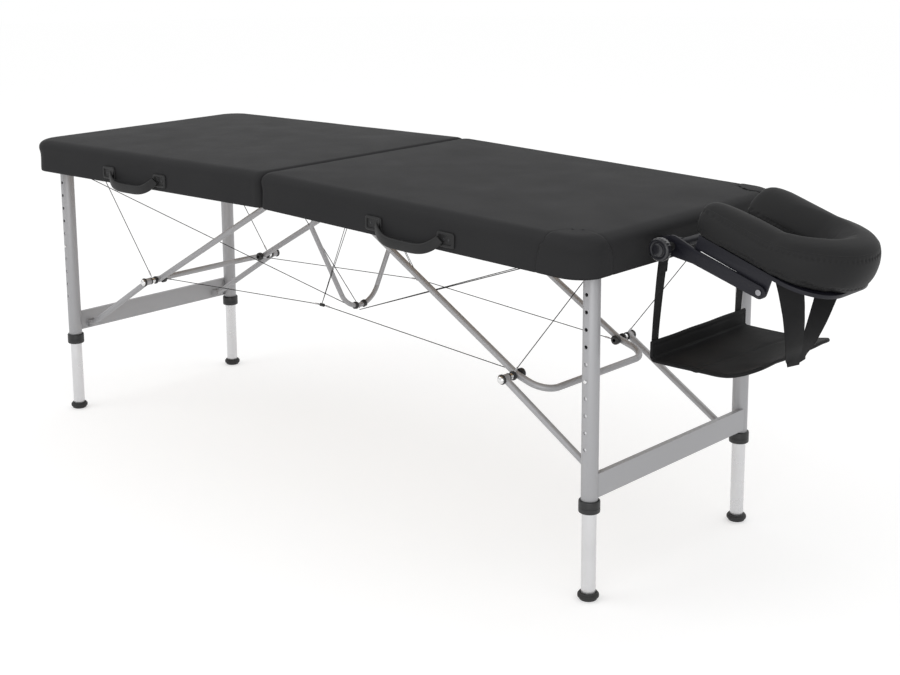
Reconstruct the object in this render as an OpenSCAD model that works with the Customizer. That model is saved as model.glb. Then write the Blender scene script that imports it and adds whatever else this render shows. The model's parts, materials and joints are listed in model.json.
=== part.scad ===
// Folding massage table with a face rest and an arm shelf.
// Millimetres. +X runs to the head end, +Y to the far side, +Z up.
// The origin lies on the floor under the middle of the centre hinge.

/* [Table top] */
// Length of the open top
top_len = 1860; // [1700:10:2000]
// Width of the top
top_w = 700; // [660:10:760]
// Height of the top's bottom edge at its two ends
edge_h = 674.5; // [650:0.5:700]
// Height of the middle of the open top above its ends
bow_rise = 19; // [8:1:24]
// Height of a panel's side, from the bottom edge to the flat of the cushion
panel_t = 81; // [76:1:95]
// Corner radius of the top at its two ends
end_corner_r = 58; // [56:1:70]
// Corner radius of the top at the fold
fold_corner_r = 14; // [12:1:20]
// Gap between the two halves at the fold
fold_gap = 2; // [1:0.5:4]
// Rise of the cushion's crown over its flat
crown_h = 4; // [2:1:8]
// Inset of the cushion's rounded top edge
edge_inset = 20; // [14:1:26]

/* [Panel frame] */
// Clear height of the leg well under the board
well_h = 53; // [52:1:56]
// Thickness of the board
board_t = 4; // [3:0.5:6]
// Thickness of the covered skirt round the frame
skirt_t = 6; // [4:0.5:6]
// Thickness of the side rails
side_rail_t = 18; // [14:1:20]
// Thickness of the rails at the ends and at the fold
end_rail_t = 12; // [8:1:12]

/* [Centre hinge] */
// Distance of each hinge pin from the fold, along the panel
hinge_x = 8; // [4.8:0.1:10]
// Drop of the hinge pins below the bottom edge
hinge_drop = 6.5; // [6.3:0.1:9]
// Radius of a hinge pin
hinge_pin_r = 2; // [1.5:0.1:2.4]
// Radius of a hinge knuckle and of the link
knuckle_r = 4; // [3.5:0.1:4.2]
// Distance of each hinge's middle inside the table's side
hinge_inset = 120; // [100:5:135]
// Length of a hinge along its pin
hinge_len = 60; // [50:2:80]
// Width of the yoke that ties the two hinges together
yoke_w = 11; // [8:0.5:11]
// Thickness of the yoke
yoke_t = 3; // [2:0.5:4]
// Thickness of a hinge leaf
leaf_t = 2; // [1.5:0.1:2.2]
// Width of a hinge leaf
leaf_w = 37; // [25:1:45]

/* [Legs] */
// Distance of a leg's pivot from the panel's end
leg_in = 40.5; // [40:0.5:50]
// Distance of each leg's axis inside the table's side
leg_inset = 78.5; // [70:0.5:80]
// Height of the leg pivot above the panel's bottom edge
leg_pivot_h = 23.5; // [23:0.5:26]
// Radius of the outer leg tube
leg_r = 17.5; // [17:0.1:18]
// Wall of the outer leg tube
leg_wall = 2.2; // [1.6:0.1:2.3]
// Radius of the inner leg tube
inner_r = 15; // [14:0.1:15]
// Wall of the inner leg tube
inner_wall = 1.8; // [1.2:0.1:2.5]
// Height of the outer tube's lower end
outer_end_h = 190; // [188:1:196]
// Height of the inner tube's top
inner_top_h = 510; // [490:1:520]
// Length of the leg tube above its pivot
leg_over = 10; // [8:0.5:10]
// Radius of the leg pivot pin
leg_pin_r = 4; // [3:0.5:5]
// Number of height holes in a leg
hole_count = 10; // [8:1:10]
// Distance from hole to hole
hole_pitch = 35; // [34:0.5:36]
// Height of the hole that holds the button
button_h = 459; // [455:1:462]
// Number of holes above the one that holds the button
holes_above = 5; // [4:1:5]
// Radius of a height hole
hole_r = 4; // [3.9:0.1:4.5]
// Radius of the button
button_r = 3.7; // [3:0.1:3.8]
// Length of the button outside the leg
button_out = 2; // [1:0.5:3]
// Radius of the collar
collar_r = 22; // [20:0.5:22.5]
// Height of the collar
collar_h = 26; // [20:1:30]
// Radius of the rubber foot
foot_r = 22; // [20:0.5:22.5]
// Height of the rubber foot
foot_h = 16; // [14:1:20]

/* [Crossbar] */
// Height of the crossbar's lower edge
bar_h = 217; // [215:1:225]
// Height of the crossbar's face
bar_face = 50; // [40:1:55]
// Thickness of the crossbar
bar_t = 12; // [8:1:12]
// Distance of the crossbar's outer face outside the leg's axis
bar_out = 16; // [15.5:0.5:17]

/* [Stays] */
// Radius of the stay tubes
stay_r = 7.5; // [6:0.5:8]
// Distance of the upper stay's pivot from the fold
stay_in = 40; // [38:1:50]
// Height of the upper stay's pivot above the bottom edge
stay_pivot_h = 34; // [32:0.5:36]
// Distance of each lower stay inside its leg's axis
low_stay_in = 53; // [51:0.5:54]
// Distance of each upper stay inside the lower one
stay_step = 38.5; // [36:0.5:42]
// Distance of the knee from the fold
knee_x = 622; // [610:1:630]
// Height of the knee
knee_h = 392; // [385:1:400]
// Radius of the bend in the stay tube
stay_bend_r = 45; // [30:1:60]
// Length of the stay tube past the knee
past_knee = 81; // [70:1:84]
// Slope of the stay tube past the knee
past_slope = 15.7; // [14:0.1:22]
// Height of the lower stay's pivot on the crossbar
low_pivot_h = 232; // [228:1:240]
// Distance of that pivot inside the leg's axis
low_pivot_in = 10; // [8:0.5:12]
// Radius of the stay pins
stay_pin_r = 3; // [2:0.5:4]
// Radius of the knee pin
knee_pin_r = 4; // [3:0.5:5]
// Radius of the black caps at the knee
knee_cap_r = 11; // [9:0.5:11]

/* [Brace loop] */
// Distance of the loop's plane from the fold
loop_in = 44.7; // [40:0.1:50]
// Distance of each of the loop's arms inside the upper stay
loop_step = 24; // [22:1:30]
// Height at which the loop's arms turn inwards
loop_turn_h = 614; // [600:1:630]
// Radius of the loop tube
loop_r = 6; // [5:0.5:7]
// Slope of the arms, in degrees from upright
loop_slope = 26.9; // [24:0.1:28]
// Bend radius at the bottom of the loop
loop_bend_r = 68; // [60:1:80]

/* [Cables] */
// Radius of the steel cables
cable_r = 1; // [0.8:0.1:1.5]
// Distance of each cable knot inside the upper stay
knot_step = 14; // [13:0.5:15.5]
// Height of the cable knots
knot_h = 430; // [420:1:440]

/* [Handles] */
// Distance of each handle's middle from the fold
handle_x = 474; // [450:1:500]
// Half distance between a handle's end plates
handle_half = 104; // [90:1:120]
// Length of an end plate
plate_l = 48; // [40:1:60]
// Height of an end plate
plate_w = 32; // [26:1:36]
// Thickness of an end plate
plate_t = 4; // [3:0.5:6]
// Height of the plates' middle above the bottom edge
plate_h = 25; // [22:1:30]
// Width of the grip strap
grip_w = 22; // [18:1:26]
// Thickness of the grip strap
grip_t = 5; // [3:0.5:6]
// How far the grip hangs below the plates' middle
grip_drop = 27; // [20:1:30]
// How far the grip stands out from the plates
grip_out = 16; // [12:1:24]

/* [Face rest] */
// Radius of the two mounting rods
rod_r = 6.5; // [5:0.1:8]
// Distance of each rod from the middle of the width
rod_y = 100; // [80:1:105]
// Height of the rods above the bottom edge
rod_h = 44; // [38:0.5:45]
// How far the rods reach into the head end
rod_in = 124; // [100:1:127]
// Distance of the tilt axle outside the head end
axle_out = 48; // [40:1:60]
// Radius of the axle between the arms
axle_r = 9; // [8:0.5:11]
// Radius of the axle's turned ends
axle_end_r = 6; // [5:0.5:6.5]
// Distance of the arms' inner faces from the middle of the width
arm_y = 128; // [126:0.5:130]
// Thickness of an arm
arm_t = 5; // [3:0.5:6]
// Distance from the axle to the platform's pivot, along X
arm_dx = 196; // [185:1:205]
// Drop from the axle to the platform's pivot
arm_dz = 60; // [50:1:70]
// Radius of the clamp knob
knob_r = 23.5; // [18:0.5:26]
// Thickness of the clamp knob
knob_t = 18; // [12:1:22]
// Slope of the platform, head end down
tilt = 18.5; // [15:0.5:22]
// Height of the platform's underside over its pivot
plat_h = 32; // [30:1:40]
// Thickness of the platform
plat_t = 8; // [5:0.5:10]
// Width of the face cushion
face_w = 296; // [290:1:310]
// Length of the face cushion
face_l = 300; // [290:1:310]
// Thickness of the face cushion at its open ends
face_t = 62; // [55:1:75]
// Added thickness of the face cushion at its closed end
face_rise = 14; // [0:1:20]
// Width of the gap between the cushion's two arms
face_gap = 92; // [80:1:110]

/* [Arm shelf] */
// Distance of the shelf's near wall outside the head end
shelf_out = 25; // [20:1:30]
// Length of the shelf
shelf_l = 225; // [200:1:228]
// Width of the shelf
shelf_w = 340; // [320:1:350]
// Height of the shelf's underside above the floor
shelf_h = 486; // [480:1:500]
// Thickness of the shelf
shelf_t = 7; // [5:0.5:10]
// Height of the shelf's wall
wall_h = 42; // [30:1:50]
// Rise of the shelf's free edge
curl_h = 14; // [5:1:20]
// Width of the straps
strap_w = 25; // [20:1:26]
// Thickness of the straps
strap_t = 2.5; // [1.5:0.1:3]

/* [Hidden] */
$fn = 48;
half_turn = 180;

// Clearances, shared by every fit
over = 2;          // overrun of cuts
joint_gap = 0.2;   // between two pieces of one tube
pin_gap = 0.1;     // radial clearance of pins in bores
side_gap = 0.5;    // between pieces that turn beside each other
seat_gap = 0.3;    // between a cable's end or a strap's end and its seat
weld_gap = 0.1;    // between a welded piece and the tube it is coped to

// Panel geometry. Panel space has its origin on the bottom edge at the fold, its X along the panel.
half_len = top_len / 2;
half_w = top_w / 2;
bow = asin(bow_rise / half_len);
centre_h = edge_h + bow_rise;
frame_end = half_len - skirt_t;
frame_start = fold_gap / 2 + skirt_t;
frame_half_w = half_w - skirt_t;
well_end = frame_end - end_rail_t;
well_start = frame_start + end_rail_t;
well_half_w = frame_half_w - side_rail_t;
well_corner_r = end_corner_r - skirt_t - end_rail_t;
cushion_h = well_h + board_t;

// Lanes across the table, each set off from the one outside it
hinge_y = half_w - hinge_inset;
leg_y = half_w - leg_inset;
low_stay_y = leg_y - low_stay_in;
stay_y = low_stay_y - stay_step;
loop_y = stay_y - loop_step;
knot_y = stay_y - knot_step;
short_step = 20;
short_y = stay_y + short_step;

// Places along the head end
rod_start = half_len - rod_in;
axle_x = half_len + axle_out;
shelf_x = half_len + shelf_out;
socket_out = 12;
socket_start = half_len + socket_out;
cable_rail_in = 115;
cable_rail_x = half_len - cable_rail_in;

// A panel point in the world's X and Z, for the head half
function world(p) = [p[0] * cos(bow) + p[1] * sin(bow), centre_h - p[0] * sin(bow) + p[1] * cos(bow)];
function middle(a, b) = (a + b) / 2;

// Legs, in the world
leg_xl = half_len - leg_in;
leg_pivot = world([leg_xl, leg_pivot_h]);
leg_x = leg_pivot[0];
leg_top_h = leg_pivot[1] + leg_over;
bore_r = leg_r - leg_wall;
button_hole_r = button_r + pin_gap;
button_head_r = 5.5;
button_head_t = 1.5;
collar_lip = 4;
foot_seat_h = 4;
foot_base_r = 18;
foot_rim_h = 9;
foot_rim_t = 3;
foot_top_r = 18.5;

// Leg brackets
bracket_t = 5;
bracket_half = 18;
bracket_gap = 5;
bracket_low = 10;
boss_r = 10;
flange_t = 3;
flange_w = 37;
pin_head_r = 6;
pin_head_t = 3;

// Lugs on the crossbar
lug_t = 3;
lug_r = 9;
eye_r = 9;
eye_lip = 0.3;
turn_swell = 0.3;
eye_half = stay_r + eye_lip;
low_pivot = [leg_x - low_pivot_in, low_pivot_h];
knee = [knee_x, knee_h];

// Upper stays
stay_pivot_l = [stay_in, stay_pivot_h];
stay_pivot = world(stay_pivot_l);
stay_bracket_t = 4;
stay_bracket_half = 10;
knee_ring_t = 6;
knee_ring_r = 10;
inner_cap_t = 12;
knee_split_in = 3;
knee_split_y = middle(stay_y, low_stay_y) - knee_split_in;
sleeve_r = 7;
sleeve_t = 10;
dome_r = 9;
dome_t = 7;
cap_ring_t = 4.5;

// Brace loop, which hangs from the hinge's yoke on the foot side of the fold
// The bend's centre lies where it touches both sloping arms
loop_bend_h = loop_turn_h - (loop_y - loop_bend_r / cos(loop_slope)) / tan(loop_slope);
loop_touch = [loop_bend_r * cos(loop_slope), loop_bend_h - loop_bend_r * sin(loop_slope)];
loop_low_h = loop_bend_h - loop_bend_r;
clamp_t = 8;
clamp_wall = 3;
clamp_turn = 12;
stub_len = 8;

// Cable ends
short_top_x = leg_x;
short_knee_gap = 0.8;
cable_rail_drop = 16;
cord_r = 0.8;
cord_spread = 6;
cord_top_x = 14;
cord_top_y = 20;
knot_r = 4;
knot_len = 14;

// Grip straps
grip_steps = 12;
grip_root_gap = 0.4;
tab_l = 12;

// Face rest
axle_l = [axle_x, rod_h];
axle = world(axle_l);
plat_pivot = [axle[0] + arm_dx, axle[1] - arm_dz];
socket_r = 10.5;
socket_depth = 26;
arm_eye_r = 21;
arm_neck = [46, -13];
arm_neck_r = 15;
arm_bend_r = 14.4;
arm_tip_r = 13;
arm_out_y = arm_y + arm_t;
strap_y = arm_out_y + 4;
knob_y = strap_y + strap_w + 2;
knob_depth = 12;
knob_stub_r = 5;
knob_hub_r = 13;
knob_hub_t = 4;
rivet_r = 3;
rivet_head_r = 6;
rivet_head_t = 2.5;
plat_flange_t = 5;
plat_flange_h = 20;
plat_start = -160;
plat_end = 118;
plat_half_w = arm_y - side_gap;
plat_hole_half = 48;
plat_hole_end = 40;
plat_nose_r = 90;
quadrant_r = 148;
quadrant_w = 12;
quadrant_low = 4;
face_start = -164;
face_arm_w = (face_w - face_gap) / 2;
face_path_y = face_gap / 2 + face_arm_w / 2;
face_path_end = face_start + face_l - face_arm_w / 2 - face_path_y;
face_path_start = face_start + 12;

// Arm shelf
shelf_corner_r = 48;
curl_l = 45;
shelf_wall_t = 6;
loop_wall = 2.2;
right_strap_top = [28, 85];
right_strap_low_y = 14;

// Two halves of the table and its two long sides
module head_half() { translate([0, 0, centre_h]) rotate([0, bow, 0]) children(); }
module foot_half() { mirror([1, 0, 0]) head_half() children(); }
module both_sides() { children(); mirror([0, 1, 0]) children(); }
module foot_end() { mirror([1, 0, 0]) children(); }
// A cylinder along +Y, from y to y + h
module y_cylinder(x, y, z, r, h) { translate([x, y, z]) rotate([-90, 0, 0]) cylinder(r = r, h = h); }
// A block from one corner to the other
module block(low, high) { translate(low) cube(high - low); }
// A round bar from one point to another
module bar(a, b, r) {
    d = b - a;
    translate(a) rotate([0, acos(d[2] / norm(d)), atan2(d[1], d[0])]) cylinder(r = r, h = norm(d));
}

// Panel outline: square at the fold but for a small corner, round at the end
module panel_outline(x0, x1, w, r0, r1) {
    translate([x0, -w + r0]) square([x1 - x0 - r1, 2 * (w - r0)]);
    translate([x0 + r0, -w]) square([x1 - x0 - r0 - r1, 2 * w]);
    translate([x1 - r1 - over, -w + r1]) square([r1 + over, 2 * (w - r1)]);
    for (s = [-1, 1]) {
        translate([x0 + r0, s * (w - r0)]) circle(r = r0);
        translate([x1 - r1, s * (w - r1)]) circle(r = r1);
    }
}
module frame_outline() {
    panel_outline(frame_start, frame_end, frame_half_w, fold_corner_r - skirt_t, end_corner_r - skirt_t);
}
module well_outline() {
    panel_outline(well_start, well_end, well_half_w, fold_corner_r - skirt_t, well_corner_r);
}
module skirt_outline() {
    panel_outline(fold_gap / 2, half_len, half_w, fold_corner_r, end_corner_r);
}
module rod_holes(r) {
    both_sides() translate([well_end - over, rod_y, rod_h]) rotate([0, 90, 0])
        cylinder(r = r, h = end_rail_t + skirt_t + 2 * over);
}

// Cushion form: rings of the outline, drawn in towards the top, and a crown
corner_steps = 6;
ring_len = 4 * (corner_steps + 1);
// Heights as shares of the cushion's edge height, with insets as shares of the edge inset
edge_shares = [[0, 0], [0.28, -0.03], [0.5, 0.08], [0.7, 0.26], [0.86, 0.5], [0.96, 0.76], [1, 1]];
// Insets of the crown's rings as shares of the half width, with heights as shares of the crown
crown_shares = [[0.16, 0.45], [0.35, 0.8], [0.65, 1]];
// One ring: inset at the end and sides, and a smaller one at the fold
function corner(cx, cy, r, a0) =
    [for (i = [0 : corner_steps]) let (a = a0 + 90 * i / corner_steps) [cx + r * cos(a), cy + r * sin(a)]];
function ring_at(inset, fold_inset, h) =
    let (r1 = max(end_corner_r - inset / 2, fold_corner_r), r0 = fold_corner_r,
         x0 = fold_gap / 2 + fold_inset + r0, x1 = half_len - inset - r1,
         y0 = half_w - inset - r0, y1 = half_w - inset - r1,
         flat = concat(corner(x1, y1, r1, 0), corner(x0, y0, r0, 90),
                       corner(x0, -y0, r0, 180), corner(x1, -y1, r1, 270)))
    [for (p = flat) [p[0], p[1], h]];
fold_inset_share = 0.45;
cushion_rings = concat(
    [for (s = edge_shares) ring_at(s[1] * edge_inset, s[1] * edge_inset * fold_inset_share,
                                   cushion_h + s[0] * (panel_t - cushion_h))],
    [for (s = crown_shares) ring_at(edge_inset + s[0] * half_w, edge_inset + s[0] * half_w,
                                    panel_t + s[1] * crown_h)]);
// A closed skin over rings of equal length, each end closed by a fan to a middle point
function flat_list(rings) = [for (r = rings) for (p = r) p];
function mean_point(r) = [for (k = [0 : 2]) let (s = [for (p = r) p[k]]) s * [for (p = r) 1] / len(r)];
function skin_faces(n, count) = concat(
    [for (k = [0 : count - 2]) for (i = [0 : n - 1]) [k * n + i, (k + 1) * n + i, k * n + (i + 1) % n]],
    [for (k = [0 : count - 2]) for (i = [0 : n - 1])
        [k * n + (i + 1) % n, (k + 1) * n + i, (k + 1) * n + (i + 1) % n]],
    [for (i = [0 : n - 1]) [i, (i + 1) % n, n * count]],
    [for (i = [0 : n - 1]) [(count - 1) * n + (i + 1) % n, (count - 1) * n + i, n * count + 1]]);
module skin(rings) {
    n = len(rings[0]);
    count = len(rings);
    polyhedron(points = concat(flat_list(rings), [mean_point(rings[0]), mean_point(rings[count - 1])]),
               faces = skin_faces(n, count));
}
module cushion() { color("#3c3c3e") skin(cushion_rings); }

module skirt() {
    color("#333335") linear_extrude(height = cushion_h) difference() {
        skirt_outline();
        frame_outline();
    }
}
module board() {
    color("burlywood") translate([0, 0, well_h]) linear_extrude(height = board_t) frame_outline();
}
module panel_frame() {
    color("tan") linear_extrude(height = well_h) difference() {
        frame_outline();
        well_outline();
    }
}
module head_skirt() {
    head_half() difference() {
        skirt();
        rod_holes(rod_r + pin_gap);
    }
}
module head_frame() {
    head_half() difference() {
        panel_frame();
        rod_holes(rod_r + pin_gap);
    }
}

// Centre hinge: two pins joined by links, so that each half turns about its own pin
link_half = hinge_len / 4 - side_gap / 2;
module hinge_leaves() {
    color("silver") both_sides() difference() {
        union() {
            block([hinge_x - knuckle_r, hinge_y - hinge_len / 2, -leaf_t],
                  [hinge_x - knuckle_r + leaf_w, hinge_y + hinge_len / 2, 0]);
            for (s = [-1, 1]) {
                end_y = hinge_y + s * hinge_len / 2;
                gap_y = hinge_y + s * (link_half + side_gap);
                y_cylinder(hinge_x, min(end_y, gap_y), -hinge_drop, knuckle_r, abs(end_y - gap_y));
                block([hinge_x - knuckle_r, min(end_y, gap_y), -hinge_drop],
                      [hinge_x + knuckle_r, max(end_y, gap_y), -leaf_t]);
            }
        }
        y_cylinder(hinge_x, hinge_y - hinge_len, -hinge_drop, hinge_pin_r + pin_gap, 2 * hinge_len);
    }
}
pin_axis = world([hinge_x, -hinge_drop]);
yoke_top = pin_axis[1] - knuckle_r - side_gap;
yoke_low = yoke_top - yoke_t;
module hinge_link() {
    difference() {
        union() {
            for (s = [-1, 1]) {
                y_cylinder(s * pin_axis[0], hinge_y - link_half, pin_axis[1], knuckle_r, 2 * link_half);
            }
            block([-pin_axis[0], hinge_y - link_half, pin_axis[1] - knuckle_r],
                  [pin_axis[0], hinge_y + link_half, pin_axis[1] + knuckle_r]);
            block([-yoke_w / 2, hinge_y - link_half, yoke_low],
                  [yoke_w / 2, hinge_y + link_half, pin_axis[1]]);
        }
        for (s = [-1, 1]) {
            y_cylinder(s * pin_axis[0], hinge_y - hinge_len, pin_axis[1],
                       hinge_pin_r + weld_gap / 2, 2 * hinge_len);
        }
    }
}
// The two links and the yoke that ties them together and carries the brace loop
module hinge_links() {
    color("silver") {
        both_sides() hinge_link();
        block([-yoke_w / 2, -hinge_y, yoke_low], [yoke_w / 2, hinge_y, yoke_top]);
    }
}
module hinge_pins() {
    color("gray") both_sides() for (s = [-1, 1]) {
        y_cylinder(s * pin_axis[0], hinge_y - hinge_len / 2, pin_axis[1], hinge_pin_r, hinge_len);
    }
}

// Legs
module outer_legs() {
    color("#a0a0a2") both_sides() difference() {
        translate([leg_x, -leg_y, outer_end_h]) cylinder(r = leg_r, h = leg_top_h - outer_end_h);
        translate([leg_x, -leg_y, outer_end_h - over])
            cylinder(r = bore_r, h = leg_top_h - outer_end_h + 2 * over);
        y_cylinder(leg_x, -leg_y - leg_r - over, leg_pivot[1], leg_pin_r + pin_gap, 2 * (leg_r + over));
        for (i = [0 : hole_count - 1]) {
            hole_h = button_h + (holes_above - i) * hole_pitch;
            y_cylinder(leg_x, -leg_y - leg_r - over, hole_h, hole_r, leg_r + over);
        }
    }
}
module crossbar() {
    color("#a0a0a2") {
        difference() {
            block([leg_x + bar_out - bar_t, -leg_y, bar_h], [leg_x + bar_out, leg_y, bar_h + bar_face]);
            both_sides() translate([leg_x, -leg_y, bar_h - over])
                cylinder(r = leg_r + weld_gap, h = bar_face + 2 * over);
        }
        both_sides() lugs();
    }
}
// Two lugs with a fixed pin for a lower stay
module lugs() {
    for (s = [-1, 1]) {
        y0 = low_stay_y + s * (eye_half + side_gap + lug_t / 2) - lug_t / 2;
        y_cylinder(low_pivot[0], y0, low_pivot[1], lug_r, lug_t);
        block([low_pivot[0], y0, low_pivot[1] - lug_r],
              [leg_x + bar_out - bar_t, y0 + lug_t, low_pivot[1] + lug_r]);
    }
    pin_y = low_stay_y - eye_half - side_gap - lug_t;
    y_cylinder(low_pivot[0], pin_y, low_pivot[1], stay_pin_r, 2 * (eye_half + side_gap + lug_t) + pin_head_t);
    y_cylinder(low_pivot[0], low_stay_y + eye_half + side_gap + lug_t, low_pivot[1], pin_head_r, pin_head_t);
}
module collars() {
    color("#262626") both_sides() translate([leg_x, -leg_y, outer_end_h - collar_lip]) difference() {
        cylinder(r = collar_r, h = collar_h);
        translate([0, 0, collar_lip]) cylinder(r = leg_r + weld_gap, h = collar_h);
        translate([0, 0, -over]) cylinder(r = bore_r, h = collar_h);
    }
}
module inner_leg() {
    color("#d8dadc") difference() {
        translate([leg_x, -leg_y, foot_seat_h]) cylinder(r = inner_r, h = inner_top_h - foot_seat_h);
        translate([leg_x, -leg_y, 0]) cylinder(r = inner_r - inner_wall, h = inner_top_h + over);
        y_cylinder(leg_x, -leg_y - inner_r - over, button_h, button_hole_r, inner_r + over);
    }
}
module rubber_foot() {
    color("#262626") translate([leg_x, -leg_y, 0]) difference() {
        rotate_extrude() polygon([[0, 0], [foot_base_r, 0], [foot_r, foot_rim_h - foot_rim_t],
                                  [foot_r, foot_rim_h + foot_rim_t], [foot_top_r, foot_h], [0, foot_h]]);
        translate([0, 0, foot_seat_h]) cylinder(r = inner_r + weld_gap, h = foot_h);
    }
}
module button() {
    color("#3a3a3c") {
        y_cylinder(leg_x, -leg_y - leg_r - button_out, button_h, button_r,
                   button_out + leg_r - inner_r + inner_wall + button_head_t);
        y_cylinder(leg_x, -leg_y - inner_r + inner_wall + button_head_t, button_h,
                   button_head_r, button_head_t);
    }
}
// Bracket under the board, with the leg's pivot pin
module leg_hinges() {
    plate_y = leg_y + leg_r + bracket_gap;
    color("#5a5a5c") both_sides() {
        block([leg_xl - bracket_half, plate_y, bracket_low],
              [leg_xl + bracket_half, plate_y + bracket_t, well_h]);
        block([leg_xl - bracket_half, plate_y + bracket_t - flange_w, well_h - flange_t],
              [leg_xl + bracket_half, plate_y + bracket_t, well_h]);
        y_cylinder(leg_xl, leg_y + leg_r + side_gap, leg_pivot_h, boss_r, bracket_gap);
        y_cylinder(leg_xl, leg_y - leg_r - side_gap - pin_head_t, leg_pivot_h, leg_pin_r,
                   2 * leg_r + side_gap + pin_head_t + bracket_gap);
        y_cylinder(leg_xl, leg_y - leg_r - side_gap - pin_head_t, leg_pivot_h, pin_head_r, pin_head_t);
    }
}

// Brackets under the board near the fold, with the pins of the upper stays
module stay_bracket(pivot, y, reach) {
    block([pivot[0] - stay_bracket_half, y, pivot[1] - eye_r],
          [pivot[0] + stay_bracket_half, y + stay_bracket_t, well_h]);
    y_cylinder(pivot[0], y - reach, pivot[1], stay_pin_r, reach);
}
module stay_hinges() {
    color("#5a5a5c") both_sides()
        stay_bracket(stay_pivot_l, stay_y + eye_half + side_gap, 2 * eye_half + 2 * side_gap);
}

// The bore through a stay's eye, for a pin
module eye_bore(p, y, r) { y_cylinder(p[0], y - eye_r - over, p[1], r, 2 * (eye_r + over)); }
// Upper stays: two arms and the cross piece of one bent tube, in three lengths
module past_knee_frame() { translate([knee[0], 0, knee[1]]) rotate([0, past_slope, 0]) children(); }
module stay_arm() {
    difference() {
        union() {
            bar([stay_pivot[0], stay_y, stay_pivot[1]], [knee[0], stay_y, knee[1]], stay_r);
            y_cylinder(stay_pivot[0], stay_y - eye_half, stay_pivot[1], eye_r, 2 * eye_half);
            translate([knee[0], stay_y, knee[1]]) sphere(r = stay_r + turn_swell);
            past_knee_frame() {
                bar([0, stay_y, 0], [past_knee - stay_bend_r, stay_y, 0], stay_r);
                translate([past_knee - stay_bend_r, stay_y - stay_bend_r, 0])
                    rotate_extrude(angle = 90) translate([stay_bend_r, 0]) circle(r = stay_r);
            }
        }
        eye_bore(stay_pivot, stay_y, stay_pin_r + pin_gap);
        eye_bore(knee, stay_y, knee_pin_r + weld_gap / 2);
    }
}
module stay_tube() {
    color("#a0a0a2") {
        both_sides() stay_arm();
        bridge_half = stay_y - stay_bend_r - joint_gap;
        past_knee_frame() bar([past_knee, -bridge_half, 0], [past_knee, bridge_half, 0], stay_r);
    }
}
// Knee pin of the upper stay, with its inner cap and its outer ring
module knee_pins() {
    ring_y = knee_split_y - seat_gap / 2 - knee_ring_t;
    cap_y = stay_y - stay_r - side_gap - inner_cap_t;
    color("#262626") both_sides() {
        y_cylinder(knee[0], cap_y, knee[1], knee_cap_r, inner_cap_t);
        y_cylinder(knee[0], cap_y, knee[1], knee_pin_r, ring_y + knee_ring_t - cap_y);
        y_cylinder(knee[0], ring_y, knee[1], knee_ring_r, knee_ring_t);
    }
}
module lower_stays() {
    color("#a0a0a2") both_sides() difference() {
        union() {
            bar([low_pivot[0], low_stay_y, low_pivot[1]], [knee[0], low_stay_y, knee[1]], stay_r);
            y_cylinder(low_pivot[0], low_stay_y - eye_half, low_pivot[1], eye_r, 2 * eye_half);
            y_cylinder(knee[0], low_stay_y - eye_half, knee[1], eye_r, 2 * eye_half);
        }
        eye_bore(low_pivot, low_stay_y, stay_pin_r + pin_gap);
        eye_bore(knee, low_stay_y, knee_pin_r + weld_gap / 2);
    }
}
// Stub pin of the lower stay, with its sleeve, its ring and its domed cap
module knee_caps() {
    stub_y = knee_split_y + seat_gap / 2;
    ring_y = low_stay_y + eye_half + weld_gap;
    color("#262626") both_sides() {
        y_cylinder(knee[0], stub_y, knee[1], knee_pin_r, ring_y - stub_y + cap_ring_t);
        y_cylinder(knee[0], stub_y, knee[1], sleeve_r, sleeve_t);
        y_cylinder(knee[0], ring_y, knee[1], knee_cap_r, cap_ring_t);
        y_cylinder(knee[0], ring_y + cap_ring_t, knee[1], dome_r, dome_t);
    }
}

// Brace loop: two arms and the bottom bend of one bent tube, in three lengths
module loop_plane() { translate([-loop_in, 0, 0]) children(); }
// An arm rises in the loop's plane, leans over to the fold and ends upright under the yoke
module loop_arm() {
    stub_top = [loop_in, loop_y, yoke_low - weld_gap];
    stub_low = stub_top - [0, 0, stub_len];
    turn = [0, loop_y, loop_turn_h];
    bar(stub_low, stub_top, loop_r);
    translate(stub_low) sphere(r = loop_r + turn_swell);
    bar(turn, stub_low, loop_r);
    translate(turn) sphere(r = loop_r + turn_swell);
    bar([0, loop_touch[0], loop_touch[1]], turn, loop_r);
}
module brace_loop() {
    // The bend stops short of the arms by a joint gap at each end
    bend_trim = joint_gap / loop_bend_r * half_turn / PI;
    bend_half = half_turn / 2 - loop_slope - bend_trim;
    color("#a0a0a2") loop_plane() {
        both_sides() loop_arm();
        translate([0, 0, loop_bend_h]) rotate([0, 90, 0]) rotate([0, 0, -bend_half])
            rotate_extrude(angle = 2 * bend_half) translate([loop_bend_r, 0]) circle(r = loop_r);
    }
}
module loop_clamps() {
    color("#262626") loop_plane() for (s = [-1, 1]) {
        translate([0, 0, loop_bend_h]) rotate([s * clamp_turn, 0, 0]) translate([0, 0, -loop_bend_r])
            rotate([90, 0, 0]) translate([0, 0, -clamp_t / 2]) difference() {
                cylinder(r = loop_r + clamp_wall, h = clamp_t);
                translate([0, 0, -over]) cylinder(r = loop_r + seat_gap, h = clamp_t + 2 * over);
            }
    }
}

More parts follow.
